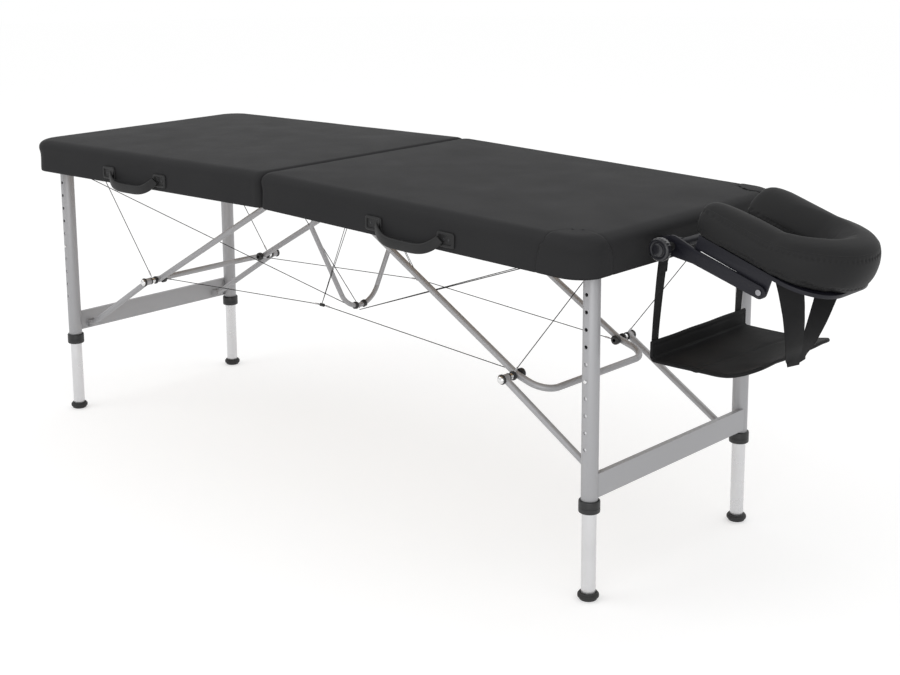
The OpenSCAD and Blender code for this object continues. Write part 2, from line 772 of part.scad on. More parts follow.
// Cables. The short ones run from a knee to the board, the long ones from a knee to the knot.
knot = [0, knot_y, knot_h];
roof_h = world([short_top_x, well_h])[1];
short_top = [short_top_x, short_y, roof_h - seat_gap - cable_r];
function toward(a, b, d) = a + (b - a) * d / norm(b - a);
module half_cables() {
    short_knee = toward([knee[0], short_y, knee[1]], short_top, knee_cap_r + short_knee_gap);
    long_knee = toward([knee[0], knot_y, knee[1]], knot, knee_cap_r + short_knee_gap);
    color("#2a2a2a") both_sides() {
        bar(short_knee, short_top, cable_r);
        bar(long_knee, [knot_len / 2, knot[1], knot[2]], cable_r);
    }
}
module knots() {
    color("#2a2a2a") both_sides() translate([-knot_len / 2 + joint_gap, knot_y, knot_h]) rotate([0, 90, 0])
        cylinder(r = knot_r, h = knot_len - 2 * joint_gap);
}
module foot_cables() {
    foot_end() half_cables();
    knots();
}
module head_cables() { half_cables(); }
// Brace cables from the bottom of the loop to the four side rails
loop_low = [-loop_in, loop_low_h];
rail_point = [cable_rail_x, well_half_w - seat_gap - cable_r, world([cable_rail_x, cable_rail_drop])[1]];
module brace_cable(side, far) {
    a = [loop_low[0] + side * cord_spread, far * cord_spread, loop_low[1] - loop_r - clamp_wall - cable_r];
    color("#2a2a2a") bar(a, [side * rail_point[0], far * rail_point[1], rail_point[2]], cable_r);
}
module loop_cables() {
    for (side = [-1, 1]) for (far = [-1, 1]) brace_cable(side, far);
}
// Two elastic cords run from each knot up to the rail at the fold
module hinge_cords() {
    top = [-cord_top_x, cord_top_y, world([cord_top_x, 0])[1] - seat_gap - cord_r];
    color("#2a2a2a") both_sides() for (s = [0, 1]) {
        bar([-s * cord_spread / 2, knot_y - s * cord_spread / 2, knot_h + knot_r + seat_gap],
            top + [-s * cord_spread, s * cord_spread, 0], cord_r);
    }
}

// Handles on the near side
module handle_plate(x) {
    block([x - plate_l / 2, -half_w - plate_t, plate_h - plate_w / 2],
          [x + plate_l / 2, -half_w, plate_h + plate_w / 2]);
}
function grip_point(t) = [handle_x + t * (handle_half - plate_l / 2 + tab_l),
                          -half_w - plate_t - grip_t / 2 - grip_root_gap - grip_out * (1 - pow(t, 4)),
                          plate_h - grip_drop * (1 - pow(t, 4))];
function grip_ring(p) = [p + [0, -grip_t / 2, -grip_w / 2], p + [0, grip_t / 2, -grip_w / 2],
                         p + [0, grip_t / 2, grip_w / 2], p + [0, -grip_t / 2, grip_w / 2]];
module handle() {
    color("#2c2c2e") {
        for (s = [-1, 1]) handle_plate(handle_x + s * handle_half);
        skin([for (i = [0 : grip_steps]) grip_ring(grip_point(2 * i / grip_steps - 1))]);
    }
}

// Face rest
module face_rods() {
    color("#1d1d20") head_half() both_sides() translate([rod_start, rod_y, rod_h]) rotate([0, 90, 0])
        cylinder(r = rod_r, h = socket_start + socket_depth - rod_start - joint_gap);
}
module face_axle() {
    color("#1d1d20") difference() {
        union() {
            y_cylinder(axle[0], -arm_y + side_gap, axle[1], axle_r, 2 * (arm_y - side_gap));
            y_cylinder(axle[0], -knob_y + side_gap, axle[1], axle_end_r, 2 * (knob_y - side_gap));
            y_cylinder(axle[0], -knob_y - knob_depth + side_gap, axle[1], knob_stub_r, knob_depth);
            head_half() both_sides() translate([socket_start, rod_y, rod_h]) rotate([0, 90, 0])
                cylinder(r = socket_r, h = axle_x - socket_start);
        }
        head_half() both_sides() translate([socket_start - over, rod_y, rod_h]) rotate([0, 90, 0])
            cylinder(r = rod_r + weld_gap / 2, h = socket_depth + over);
    }
}
// A flat link of two eyes and the straight sides that touch both
module link_shape(a, ra, b, rb) {
    d = b - a;
    turn = atan2(d[1], d[0]);
    spread = acos((ra - rb) / norm(d));
    translate(a) circle(r = ra);
    translate(b) circle(r = rb);
    left = [cos(turn + spread), sin(turn + spread)];
    right = [cos(turn - spread), sin(turn - spread)];
    polygon([a + ra * left, a + ra * right, b + rb * right, b + rb * left]);
}
// Draws a shape of X and Z as a plate from y to y + t
module side_plate(y, t) { translate([0, y + t, 0]) rotate([90, 0, 0]) linear_extrude(height = t) children(); }
module face_arms() {
    color("#1d1d20") both_sides() difference() {
        side_plate(arm_y, arm_t) translate(axle) {
            link_shape([0, 0], arm_eye_r, arm_neck, arm_neck_r);
            link_shape(arm_neck, arm_bend_r, [arm_dx, -arm_dz], arm_tip_r);
        }
        y_cylinder(axle[0], arm_y - over, axle[1], axle_end_r + pin_gap, arm_t + 2 * over);
        y_cylinder(plat_pivot[0], arm_y - over, plat_pivot[1], rivet_r + weld_gap / 2, arm_t + 2 * over);
    }
}
module face_pivots() {
    inner_y = plat_half_w - plat_flange_t - side_gap - rivet_head_t;
    color("silver") both_sides() {
        y_cylinder(plat_pivot[0], inner_y, plat_pivot[1], rivet_r, arm_out_y - inner_y + weld_gap);
        y_cylinder(plat_pivot[0], inner_y, plat_pivot[1], rivet_head_r, rivet_head_t);
        y_cylinder(plat_pivot[0], arm_out_y + weld_gap, plat_pivot[1], rivet_head_r, rivet_head_t);
    }
}
module face_knob() {
    color("#1a1a1c") difference() {
        union() {
            y_cylinder(axle[0], -knob_y - knob_t, axle[1], knob_r, knob_t);
            y_cylinder(axle[0], -knob_y - knob_t - knob_hub_t, axle[1], knob_hub_r, knob_hub_t);
        }
        y_cylinder(axle[0], -knob_y - knob_depth, axle[1], knob_stub_r + pin_gap, knob_depth + over);
    }
}
// Platform space has its origin at the platform's pivot and its X down the slope
module platform_space() { translate([plat_pivot[0], 0, plat_pivot[1]]) rotate([0, tilt, 0]) children(); }
module platform_outline() {
    difference() {
        union() {
            translate([plat_start, -plat_half_w])
                square([plat_end - plat_nose_r - plat_start, 2 * plat_half_w]);
            translate([plat_end - plat_nose_r - over, -plat_half_w + plat_nose_r])
                square([plat_nose_r + over, 2 * (plat_half_w - plat_nose_r)]);
            for (s = [-1, 1]) {
                translate([plat_end - plat_nose_r, s * (plat_half_w - plat_nose_r)]) circle(r = plat_nose_r);
            }
        }
        translate([plat_start - over, -plat_hole_half])
            square([plat_hole_end - plat_hole_half - plat_start + over, 2 * plat_hole_half]);
        translate([plat_hole_end - plat_hole_half, 0]) circle(r = plat_hole_half);
    }
}
module platform_flange() {
    side_plate(plat_half_w - plat_flange_t, plat_flange_t) difference() {
        union() {
            translate([plat_start, plat_h - plat_flange_h]) square([-plat_start, plat_flange_h]);
            translate([-arm_tip_r, 0]) square([2 * arm_tip_r, plat_h]);
            circle(r = arm_tip_r);
            // The toothed quadrant that holds the platform's slope, round the pivot
            intersection() {
                difference() {
                    circle(r = quadrant_r + quadrant_w, $fn = 96);
                    circle(r = quadrant_r, $fn = 96);
                }
                translate([plat_start, quadrant_low]) square([-plat_start, plat_h - quadrant_low]);
            }
        }
        circle(r = rivet_r + pin_gap);
    }
}
module face_platform() {
    color("#1d1d20") platform_space() {
        translate([0, 0, plat_h]) linear_extrude(height = plat_t) platform_outline();
        both_sides() platform_flange();
    }
}

// Face cushion form: a rounded section led along a horseshoe, with round ends
section_steps = 14;
bend_steps = 12;
arm_steps = 3;
// How square the section is across its width and its height: 1 is round
wide_power = 0.62;
high_power = 0.72;
cap_shares = [[0, 0.45], [0.25, 0.78], [0.6, 0.95], [1, 1]];
function horseshoe(t) = t < 0 ? [face_path_end + t, -face_path_y, 0]
    : t > half_turn ? [face_path_end - (t - half_turn), face_path_y, half_turn]
    : [face_path_end + face_path_y * sin(t), -face_path_y * cos(t), t];
arm_run = face_path_end - face_path_start;
cap_run_share = 0.8;
cap_run = face_arm_w / 2 * cap_run_share;
// Stations of the near arm: travel before the bend, and the section's size there
arm_stations = concat([for (c = cap_shares) [-arm_run + c[0] * cap_run, c[1]]],
                      [for (i = [1 : arm_steps - 1]) [-(arm_run - cap_run) * (1 - i / arm_steps), 1]]);
stations = concat(arm_stations, [for (i = [0 : bend_steps]) [half_turn * i / bend_steps, 1]],
                  [for (i = [len(arm_stations) - 1 : -1 : 0])
                       [half_turn - arm_stations[i][0], arm_stations[i][1]]]);
// Thickness grows round the bend
function rise_at(t) = t < 0 || t > half_turn ? 0 : face_rise * sin(t);
function face_ring(s) =
    let (p = horseshoe(s[0]), h = (face_t + rise_at(s[0])) * s[1], w = face_arm_w / 2 * s[1],
         out = [sin(p[2]), -cos(p[2])], mid = plat_h + plat_t + seat_gap + (face_t + rise_at(s[0])) / 2)
    [for (i = [0 : section_steps - 1])
        let (a = 360 * (i + 0.5) / section_steps, c = cos(a), d = sin(a),
             cx = w * sign(c) * pow(abs(c), wide_power), cz = h / 2 * sign(d) * pow(abs(d), high_power))
        [p[0] + out[0] * cx, p[1] + out[1] * cx, mid + cz]];
module face_cushion() { color("#3c3c3e") platform_space() skin([for (s = stations) face_ring(s)]); }

// Arm shelf: a soft tray with one wall, whose free edge curls up
shelf_steps = 6;
function curl_point(t) = [shelf_l - curl_l * (1 - t), curl_h * pow(t, 2)];
shelf_profile = concat(
    [[0, 0]],
    [for (i = [0 : shelf_steps]) curl_point(i / shelf_steps)],
    [for (i = [shelf_steps : -1 : 0]) curl_point(i / shelf_steps) + [0, shelf_t]],
    [[shelf_wall_t, shelf_t], [shelf_wall_t, wall_h], [0, wall_h]]);
module shelf_outline() {
    translate([0, -shelf_w / 2]) square([shelf_l - shelf_corner_r, shelf_w]);
    translate([0, -shelf_w / 2 + shelf_corner_r]) square([shelf_l, shelf_w - 2 * shelf_corner_r]);
    for (s = [-1, 1]) translate([shelf_l - shelf_corner_r, s * (shelf_w / 2 - shelf_corner_r)])
        circle(r = shelf_corner_r);
}
module arm_shelf() {
    color("#2f2f31") translate([shelf_x, 0, shelf_h]) intersection() {
        side_plate(-shelf_w / 2, shelf_w) polygon(shelf_profile);
        translate([0, 0, -over]) linear_extrude(height = wall_h + 2 * over) shelf_outline();
    }
}
// A flat strap along points, its width held along the vector wide
function strap_ring(p, wide, thick) =
    [p - wide - thick, p - wide + thick, p + wide + thick, p + wide - thick];
module left_straps() {
    mid_y = strap_y + strap_w / 2;
    wide = [0, strap_w / 2, 0];
    thick = [strap_t / 2, 0, 0];
    top = [axle[0] - axle_end_r - loop_wall, mid_y, axle[1]];
    low = [shelf_x - strap_t / 2 - seat_gap, mid_y, shelf_h + wall_h / 2];
    bend = [shelf_x - strap_t / 2 - seat_gap, mid_y, shelf_h + wall_h];
    color("#1c1c1e") both_sides() {
        skin([strap_ring(low, wide, thick), strap_ring(bend, wide, thick), strap_ring(top, wide, thick)]);
        difference() {
            y_cylinder(axle[0], strap_y, axle[1], axle_end_r + seat_gap + loop_wall, strap_w);
            y_cylinder(axle[0], strap_y - over, axle[1], axle_end_r + seat_gap, strap_w + 2 * over);
        }
    }
}
module right_straps() {
    wide = [0, strap_w / 2, 0];
    thick = [strap_t / 2, 0, 0];
    slope_z = plat_pivot[1] + (plat_h - seat_gap) * cos(tilt) - right_strap_top[0] * sin(tilt);
    top = [plat_pivot[0] + right_strap_top[0] * cos(tilt) + plat_h * sin(tilt), right_strap_top[1],
           slope_z - strap_t * sin(tilt)];
    low = [shelf_x + shelf_l + strap_t / 2 + seat_gap, right_strap_low_y, shelf_h + curl_h / 2];
    color("#1c1c1e") both_sides() skin([strap_ring(low, wide, thick), strap_ring(top, wide, thick)]);
}

foot_half() cushion();  // foot_cushion
head_half() cushion();  // head_cushion
foot_half() skirt();  // foot_skirt
head_skirt();
foot_half() board();  // foot_board
head_half() board();  // head_board
foot_half() panel_frame();  // foot_frame
head_frame();
foot_half() hinge_leaves();  // foot_hinge_leaves
head_half() hinge_leaves();  // head_hinge_leaves
hinge_links();
hinge_pins();
foot_half() leg_hinges();  // foot_leg_hinges
head_half() leg_hinges();  // head_leg_hinges
foot_end() outer_legs();  // foot_outer_legs
outer_legs();  // head_outer_legs
foot_end() crossbar();  // foot_crossbar
crossbar();  // head_crossbar
foot_end() collars();  // foot_collars
collars();  // head_collars
foot_end() inner_leg();  // foot_near_inner_leg
mirror([0, 1, 0]) foot_end() inner_leg();  // foot_far_inner_leg
inner_leg();  // head_near_inner_leg
mirror([0, 1, 0]) inner_leg();  // head_far_inner_leg
foot_end() rubber_foot();  // foot_near_rubber_foot
mirror([0, 1, 0]) foot_end() rubber_foot();  // foot_far_rubber_foot
rubber_foot();  // head_near_rubber_foot
mirror([0, 1, 0]) rubber_foot();  // head_far_rubber_foot
foot_end() button();  // foot_near_button
mirror([0, 1, 0]) foot_end() button();  // foot_far_button
button();  // head_near_button
mirror([0, 1, 0]) button();  // head_far_button
foot_half() stay_hinges();  // foot_stay_hinges
head_half() stay_hinges();  // head_stay_hinges
foot_end() stay_tube();  // foot_stay_tube
stay_tube();  // head_stay_tube
foot_end() knee_pins();  // foot_knee_pins
knee_pins();  // head_knee_pins
foot_end() lower_stays();  // foot_lower_stays
lower_stays();  // head_lower_stays
foot_end() knee_caps();  // foot_knee_caps
knee_caps();  // head_knee_caps
brace_loop();
loop_clamps();
foot_cables();
head_cables();
loop_cables();
hinge_cords();
foot_half() handle();  // foot_handle
head_half() handle();  // head_handle
face_rods();
face_axle();
face_arms();
face_pivots();
face_knob();
face_platform();
face_cushion();
arm_shelf();
left_straps();
right_straps();
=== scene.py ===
"""Folding massage table: the dressed model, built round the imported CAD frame."""

import json
import logging
from contextlib import contextmanager
from dataclasses import dataclass
from enum import Enum
from math import asin, atan2, copysign, cos, dist, exp, hypot, pi, radians, sin, sqrt, tau
from typing import Iterator, Sequence

import bmesh
import bpy
import numpy as np
from mathutils import Matrix, Vector, noise
from mathutils.bvhtree import BVHTree
from mathutils.kdtree import KDTree

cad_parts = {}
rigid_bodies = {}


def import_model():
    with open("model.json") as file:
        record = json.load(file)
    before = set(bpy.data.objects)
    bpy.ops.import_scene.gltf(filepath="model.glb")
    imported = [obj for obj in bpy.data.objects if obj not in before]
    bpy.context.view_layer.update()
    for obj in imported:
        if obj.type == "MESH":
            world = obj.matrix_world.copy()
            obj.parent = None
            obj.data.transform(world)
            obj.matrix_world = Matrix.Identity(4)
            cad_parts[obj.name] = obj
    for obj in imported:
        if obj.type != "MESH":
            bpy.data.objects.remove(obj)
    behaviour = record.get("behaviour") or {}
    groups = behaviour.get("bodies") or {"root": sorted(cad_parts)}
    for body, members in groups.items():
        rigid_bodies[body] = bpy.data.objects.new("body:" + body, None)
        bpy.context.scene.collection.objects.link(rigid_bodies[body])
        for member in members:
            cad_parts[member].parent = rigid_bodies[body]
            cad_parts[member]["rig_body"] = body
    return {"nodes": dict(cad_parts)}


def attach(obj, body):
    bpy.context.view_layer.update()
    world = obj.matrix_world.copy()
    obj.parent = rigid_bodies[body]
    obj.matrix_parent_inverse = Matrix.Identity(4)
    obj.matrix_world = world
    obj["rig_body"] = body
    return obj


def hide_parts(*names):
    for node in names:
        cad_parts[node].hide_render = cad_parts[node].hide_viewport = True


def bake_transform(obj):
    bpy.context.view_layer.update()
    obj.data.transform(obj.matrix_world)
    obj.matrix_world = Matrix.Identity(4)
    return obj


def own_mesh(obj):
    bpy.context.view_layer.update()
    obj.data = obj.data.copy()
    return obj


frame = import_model()

LOG = logging.getLogger("massage_table")
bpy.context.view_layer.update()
Obj = bpy.types.Object
Point = Sequence[float]
Pairs = Sequence[tuple[float, float]]
Line = Sequence[tuple[Vector, Vector]]
Faces = list[tuple[int, ...]]
NodeTable = dict[str, tuple]

# Sizes of the panels, repeated from the CAD source, in metres
MM = 0.001
HALF_LEN = 0.930
HALF_W = 0.350
BOW = asin(0.019 / HALF_LEN)
CENTRE_H = 0.6935
CROWN_H = 0.004
FOLD_GAP = 0.002
CORNER_R = 0.058
FOLD_R = 0.014
LEG_X = 0.8897944
KNEE_X, KNEE_H = 0.622, 0.392
SIDES = ((-1, "near"), (1, "far"))


def world(x: float, y: float, z: float, end: int = 1) -> Vector:
    """Turns a point of a panel into the row frame.

    Args:
        x: Distance from the fold along the panel.
        y: Distance across the table.
        z: Height over the panel's bottom edge.
        end: 1 for the head half, -1 for the foot half.

    Returns:
        The point in the row frame.
    """
    return Vector((end * (x * cos(BOW) + z * sin(BOW)), y, CENTRE_H - x * sin(BOW) + z * cos(BOW)))


AXLE = world(0.978, 0.0, 0.044)
PIVOT = AXLE + Vector((0.196, 0.0, -0.060))
TILT = radians(18.5)


def platform(x: float, y: float, z: float) -> Vector:
    """Turns a point of the face platform, in metres from its pivot, into the row frame."""
    return PIVOT + Vector((x * cos(TILT) + z * sin(TILT), y, z * cos(TILT) - x * sin(TILT)))


def body_of(node: str) -> str:
    """The body that carries a CAD node."""
    return frame["nodes"][node]["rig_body"]


class End(Enum):
    """The two halves of the table."""

    FOOT = "foot"
    HEAD = "head"

    @property
    def sign(self) -> int:
        """1 at the head, -1 at the foot."""
        return 1 if self is End.HEAD else -1

    @property
    def panel(self) -> str:
        """The body of this half's panel."""
        return f"{self.value}_panel"


# ------------------------------------------------------------ node trees


def wire(tree: bpy.types.NodeTree, nodes: NodeTable, links: str, **have: bpy.types.Node) -> None:
    """Fills a node tree from a table.

    Args:
        tree: The tree.
        nodes: For each node its kind, the values of its inputs and its settings.
        links: Links as "node.output>node.input"; a number is a socket's place.
        have: Nodes that the tree holds already.
    """
    made = dict(have)
    for key, row in nodes.items():
        kind, values, settings = (*row, {}, {})[:3]
        node = made[key] = tree.nodes.new(kind if "Node" in kind else f"ShaderNode{kind}")
        for name, value in settings.items():
            setattr(node, name, value)
        for name, value in values.items():
            node.inputs[name].default_value = value
    for text in links.split("; "):
        (a, out), (b, into) = ([int(w) if w.isdigit() else w for w in end.split(".")] for end in text.split(">"))
        tree.links.new(made[a].outputs[out], made[b].inputs[into])


def sockets(tree: bpy.types.NodeTree, inputs: dict[str, tuple[str, object]], outputs: dict[str, str]) -> None:
    """Gives a group its named sockets.

    Args:
        tree: The group.
        inputs: For each input its type and its default, or None.
        outputs: For each output its type.
    """
    for label, (kind, value) in inputs.items():
        socket = tree.interface.new_socket(label, in_out="INPUT", socket_type=f"NodeSocket{kind}")
        if value is not None:
            socket.default_value = value
    for label, kind in outputs.items():
        tree.interface.new_socket(label, in_out="OUTPUT", socket_type=f"NodeSocket{kind}")


@dataclass(frozen=True)
class NodeGroup:
    """A shader node group that several finishes share: height or mask first, tone second."""

    name: str
    inputs: dict[str, float]
    outputs: tuple[str, str]
    nodes: NodeTable
    links: str

    def tree(self) -> bpy.types.NodeTree:
        """Builds the group once.

        Returns:
            Its node tree.
        """
        found = bpy.data.node_groups.get(self.name)
        if found:
            return found
        tree = bpy.data.node_groups.new(self.name, "ShaderNodeTree")
        floats = {label: ("Float", value) for label, value in self.inputs.items()}
        sockets(tree, {"Vector": ("Vector", None), **floats}, {label: "Float" for label in self.outputs})
        wire(tree, {"in": ("NodeGroupInput",), "out": ("NodeGroupOutput",), **self.nodes}, self.links)
        return tree


def threads(axis: str, other: str, count: str, slant: float) -> tuple[NodeTable, str]:
    """One set of threads along an axis, slanted a little to make a twill.

    Args:
        axis: "X" or "Y".
        other: The other axis.
        count: Name of the input with the threads in a metre.
        slant: Shift along the axis for each step across it.

    Returns:
        The nodes and their links.
    """
    lean, turn, angle, sine = (f"{word}{axis}" for word in ("lean", "turn", "angle", "sine"))
    times = {"operation": "MULTIPLY"}
    nodes = {lean: ("Math", {1: slant}, {"operation": "MULTIPLY_ADD"}), turn: ("Math", {}, times),
             angle: ("Math", {1: tau}, times), sine: ("Math", {}, {"operation": "SINE"})}
    return nodes, (f"split.{other}>{lean}.0; split.{axis}>{lean}.2; {lean}.0>{turn}.0; in.{count}>{turn}.1; "
                   f"{turn}.0>{angle}.0; {angle}.0>{sine}.0")


class Pattern(Enum):
    """The surface pattern a finish is built on."""

    GRAIN = "pebbled grain: cells with soft creases, and a slow change of tone"
    MOULDED = "scuffs and rubbed patches: a mask that is 1 in the worn spots"
    DRAWN = "fine lines along Z, as on drawn or brushed tube"
    WEAVE = "a twill of two thread directions on a piece's own UV map, in metres"
    WOOD = "long wavy bands and pores along X"


WARP, WEFT = threads("X", "Y", "Threads", 0.0), threads("Y", "X", "Cross", 0.5)
GROUPS = {
    Pattern.GRAIN: NodeGroup(
        "VinylGrain", {"Scale": 700.0, "Fold": 0.35}, ("Height", "Tone"),
        {"cells": ("TexVoronoi", {}, {"feature": "DISTANCE_TO_EDGE"}),
         "crease": ("MapRange", {"From Max": 0.28}, {"interpolation_type": "SMOOTHSTEP"}),
         "fine": ("TexNoise", {"Detail": 3.0}), "mix": ("Mix", {}, {"data_type": "FLOAT"}),
         "slow": ("TexNoise", {"Scale": 5.0, "Detail": 4.0})},
        "in.Vector>cells.Vector; in.Scale>cells.Scale; cells.Distance>crease.Value; in.Vector>fine.Vector; "
        "in.Scale>fine.Scale; in.Fold>mix.Factor; crease.Result>mix.A; fine.Fac>mix.B; "
        "in.Vector>slow.Vector; mix.Result>out.Height; slow.Fac>out.Tone"),
    Pattern.MOULDED: NodeGroup(
        "RubWear", {"Scale": 60.0, "Threshold": 0.62}, ("Mask", "Smear"),
        {"spots": ("TexNoise", {"Detail": 8.0, "Roughness": 0.7}), "gate": ("MapRange", {"To Min": 0.0}),
         "upper": ("Math", {1: 0.12}, {"operation": "ADD"}), "smear": ("TexNoise", {"Scale": 9.0, "Detail": 5.0})},
        "in.Vector>spots.Vector; in.Scale>spots.Scale; in.Threshold>upper.0; in.Threshold>gate.From Min; "
        "upper.0>gate.From Max; spots.Fac>gate.Value; in.Vector>smear.Vector; gate.Result>out.Mask; "
        "smear.Fac>out.Smear"),
    Pattern.DRAWN: NodeGroup(
        "DrawnLines", {"Scale": 900.0, "Stretch": 0.01}, ("Height", "Tone"),
        {"split": ("SeparateXYZ",), "whole": ("CombineXYZ",), "squeeze": ("Math", {}, {"operation": "MULTIPLY"}),
         "lines": ("TexNoise", {"Detail": 5.0}), "slow": ("TexNoise", {"Scale": 14.0})},
        "in.Vector>split.0; split.Z>squeeze.0; in.Stretch>squeeze.1; split.X>whole.X; split.Y>whole.Y; "
        "squeeze.0>whole.Z; whole.0>lines.Vector; in.Scale>lines.Scale; in.Vector>slow.Vector; "
        "lines.Fac>out.Height; slow.Fac>out.Tone"),
    Pattern.WEAVE: NodeGroup(
        "WebWeave", {"Threads": 900.0, "Cross": 420.0}, ("Height", "Tone"),
        {"split": ("SeparateXYZ",), **WARP[0], **WEFT[0], "cross": ("Math", {}, {"operation": "MULTIPLY"}),
         "lift": ("MapRange", {"From Min": -1.0}), "slow": ("TexNoise", {"Scale": 60.0})},
        f"in.Vector>split.0; {WARP[1]}; {WEFT[1]}; sineX.0>cross.0; sineY.0>cross.1; cross.0>lift.Value; "
        "in.Vector>slow.Vector; lift.Result>out.Height; slow.Fac>out.Tone"),
    Pattern.WOOD: NodeGroup(
        "WoodFigure", {"Scale": 30.0, "Pores": 500.0}, ("Height", "Tone"),
        {"stretch": ("Mapping", {"Scale": (0.08, 1.0, 1.0)}), "pores": ("TexNoise",),
         "bands": ("TexNoise", {"Detail": 6.0, "Distortion": 0.8})},
        "in.Vector>stretch.Vector; stretch.0>bands.Vector; in.Scale>bands.Scale; stretch.0>pores.Vector; "
        "in.Pores>pores.Scale; pores.Fac>out.Height; bands.Fac>out.Tone")}


@dataclass(frozen=True)
class Finish:
    """A finish: base colours, gloss and the pattern that breaks both up."""

    name: str
    slot: str
    pattern: Pattern
    low: tuple[float, float, float]
    high: tuple[float, float, float]
    rough: tuple[float, float]
    bump: float = 0.1
    bump_m: float = 0.0001
    metallic: float = 0.0
    values: tuple[tuple[str, float], ...] = ()
    coat: float = 0.0
    sheen: float = 0.0
    specular: float = 0.5
    uv: bool = False

    def material(self) -> bpy.types.Material:
        """Builds the material once.

        Returns:
            The finish's material.
        """
        found = bpy.data.materials.get(self.name)
        if found:
            return found
        mat = bpy.data.materials.new(self.name)
        mat.use_nodes = True
        shader = mat.node_tree.nodes["Principled BSDF"]
        wire(mat.node_tree, {
            "coords": ("TexCoord",),
            "group": ("Group", dict(self.values), {"node_tree": GROUPS[self.pattern].tree()}),
            "rub": ("Group", {}, {"node_tree": GROUPS[Pattern.MOULDED].tree()}),
            "colour": ("Mix", {"A": (*self.low, 1.0), "B": (*self.high, 1.0)}, {"data_type": "RGBA"}),
            "gloss": ("MapRange", {"From Min": 0.3, "From Max": 0.7,
                                    "To Min": self.rough[0], "To Max": self.rough[1]}),
            "bump": ("Bump", {"Strength": self.bump, "Distance": self.bump_m})},
            f"coords.{'UV' if self.uv else 'Object'}>group.Vector; coords.Object>rub.Vector; "
            "group.1>colour.Factor; colour.Result>shader.Base Color; rub.Smear>gloss.Value; "
            "gloss.Result>shader.Roughness; group.0>bump.Height; bump.Normal>shader.Normal", shader=shader)
        for label, value in (("Metallic", self.metallic), ("Coat Weight", self.coat), ("Coat Roughness", 0.25),
                             ("Sheen Weight", self.sheen), ("Specular IOR Level", self.specular)):
            shader.inputs[label].default_value = value
        return mat


def moulding(name: str, slot: str, low: Point, high: Point, rough: Point, scale: float, gate: float = 0.4,
             **more: float) -> Finish:
    """A moulded, painted or powder-coated finish.

    Args:
        name: Its name.
        slot: Its slot.
        low: Darker colour.
        high: Lighter colour.
        rough: Range of the roughness.
        scale: Scale of the scuffs.
        gate: Threshold of the scuffs.
        more: Other fields of the finish.

    Returns:
        The finish.
    """
    values = (("Scale", scale), ("Threshold", gate))
    return Finish(name, slot, Pattern.MOULDED, low, high, rough, values=values, **more)


VINYL = Finish("top_vinyl", "vinyl_top", Pattern.GRAIN, (0.027, 0.027, 0.028), (0.032, 0.032, 0.033), (0.50, 0.56),
               0.22, 0.00025, values=(("Scale", 620.0),), specular=0.04)
SHELF_VINYL = Finish("shelf_vinyl", "vinyl_side", Pattern.GRAIN, (0.0115, 0.0115, 0.012), (0.016, 0.016, 0.0165),
                     (0.55, 0.66), 0.25, 0.00025, values=(("Scale", 700.0),), specular=0.12)
FACE_VINYL = Finish("face_vinyl", "vinyl_top", Pattern.GRAIN, (0.018, 0.018, 0.0185), (0.023, 0.023, 0.0235),
                    (0.50, 0.60), 0.22, 0.00025, values=(("Scale", 640.0),), specular=0.12)
PLYWOOD = Finish("birch_ply", "plywood", Pattern.WOOD, (0.42, 0.29, 0.17), (0.62, 0.47, 0.31), (0.55, 0.7),
                 0.2, 0.0002)
RAIL_WOOD = Finish("beech_rail", "rail_wood", Pattern.WOOD, (0.42, 0.31, 0.20), (0.58, 0.45, 0.31), (0.4, 0.55),
                   0.15, 0.0002, coat=0.15)
ZINC = Finish("zinc_steel", "steel", Pattern.DRAWN, (0.42, 0.42, 0.43), (0.60, 0.60, 0.62), (0.32, 0.45),
              0.08, metallic=1.0)
BRACKET = Finish("bracket_zinc", "bracket_steel", Pattern.DRAWN, (0.28, 0.28, 0.30), (0.42, 0.42, 0.44),
                 (0.35, 0.5), metallic=1.0)
ALUMINIUM = Finish("drawn_aluminium", "aluminium", Pattern.DRAWN, (0.62, 0.62, 0.63), (0.74, 0.74, 0.75),
                   (0.24, 0.34), 0.06, metallic=0.75)
SILVER = moulding("silver_paint", "silver_paint", (0.61, 0.61, 0.61), (0.68, 0.68, 0.68), (0.32, 0.42), 900.0,
                  0.45, bump=0.05)
CHROME = moulding("bright_steel", "bright_steel", (0.50, 0.50, 0.51), (0.60, 0.60, 0.61), (0.12, 0.22), 300.0,
                  0.62, bump=0.02, metallic=1.0)
BLACK_PLASTIC = moulding("black_moulding", "black_plastic", (0.012, 0.012, 0.013), (0.02, 0.02, 0.021),
                         (0.38, 0.5), 1200.0)
GRIP_RUBBER = moulding("foot_rubber", "black_rubber", (0.010, 0.010, 0.011), (0.018, 0.018, 0.018), (0.55, 0.7),
                       1000.0, bump=0.15)
HANDLE = moulding("handle_moulding", "webbing", (0.011, 0.011, 0.0115), (0.017, 0.017, 0.0175), (0.42, 0.52),
                  800.0, bump=0.12, specular=0.3)
POWDER = moulding("powder_coat", "black_metal", (0.007, 0.007, 0.011), (0.012, 0.012, 0.018), (0.38, 0.48),
                  1500.0, bump=0.18, specular=0.3)
KNOB = moulding("knob_moulding", "knob_plastic", (0.009, 0.009, 0.012), (0.014, 0.014, 0.018), (0.22, 0.34),
                500.0, 0.62, bump=0.04, coat=0.3)
THREAD = moulding("seam_thread", "vinyl_top", (0.016, 0.016, 0.0165), (0.024, 0.024, 0.0245), (0.6, 0.7), 2000.0,
                  0.62, bump=0.2)
CABLE = Finish("cable_coat", "cable", Pattern.WEAVE, (0.006, 0.006, 0.006), (0.012, 0.012, 0.012), (0.5, 0.6),
               0.5, 0.0002, values=(("Threads", 300.0), ("Cross", 260.0)), specular=0.2, uv=True)
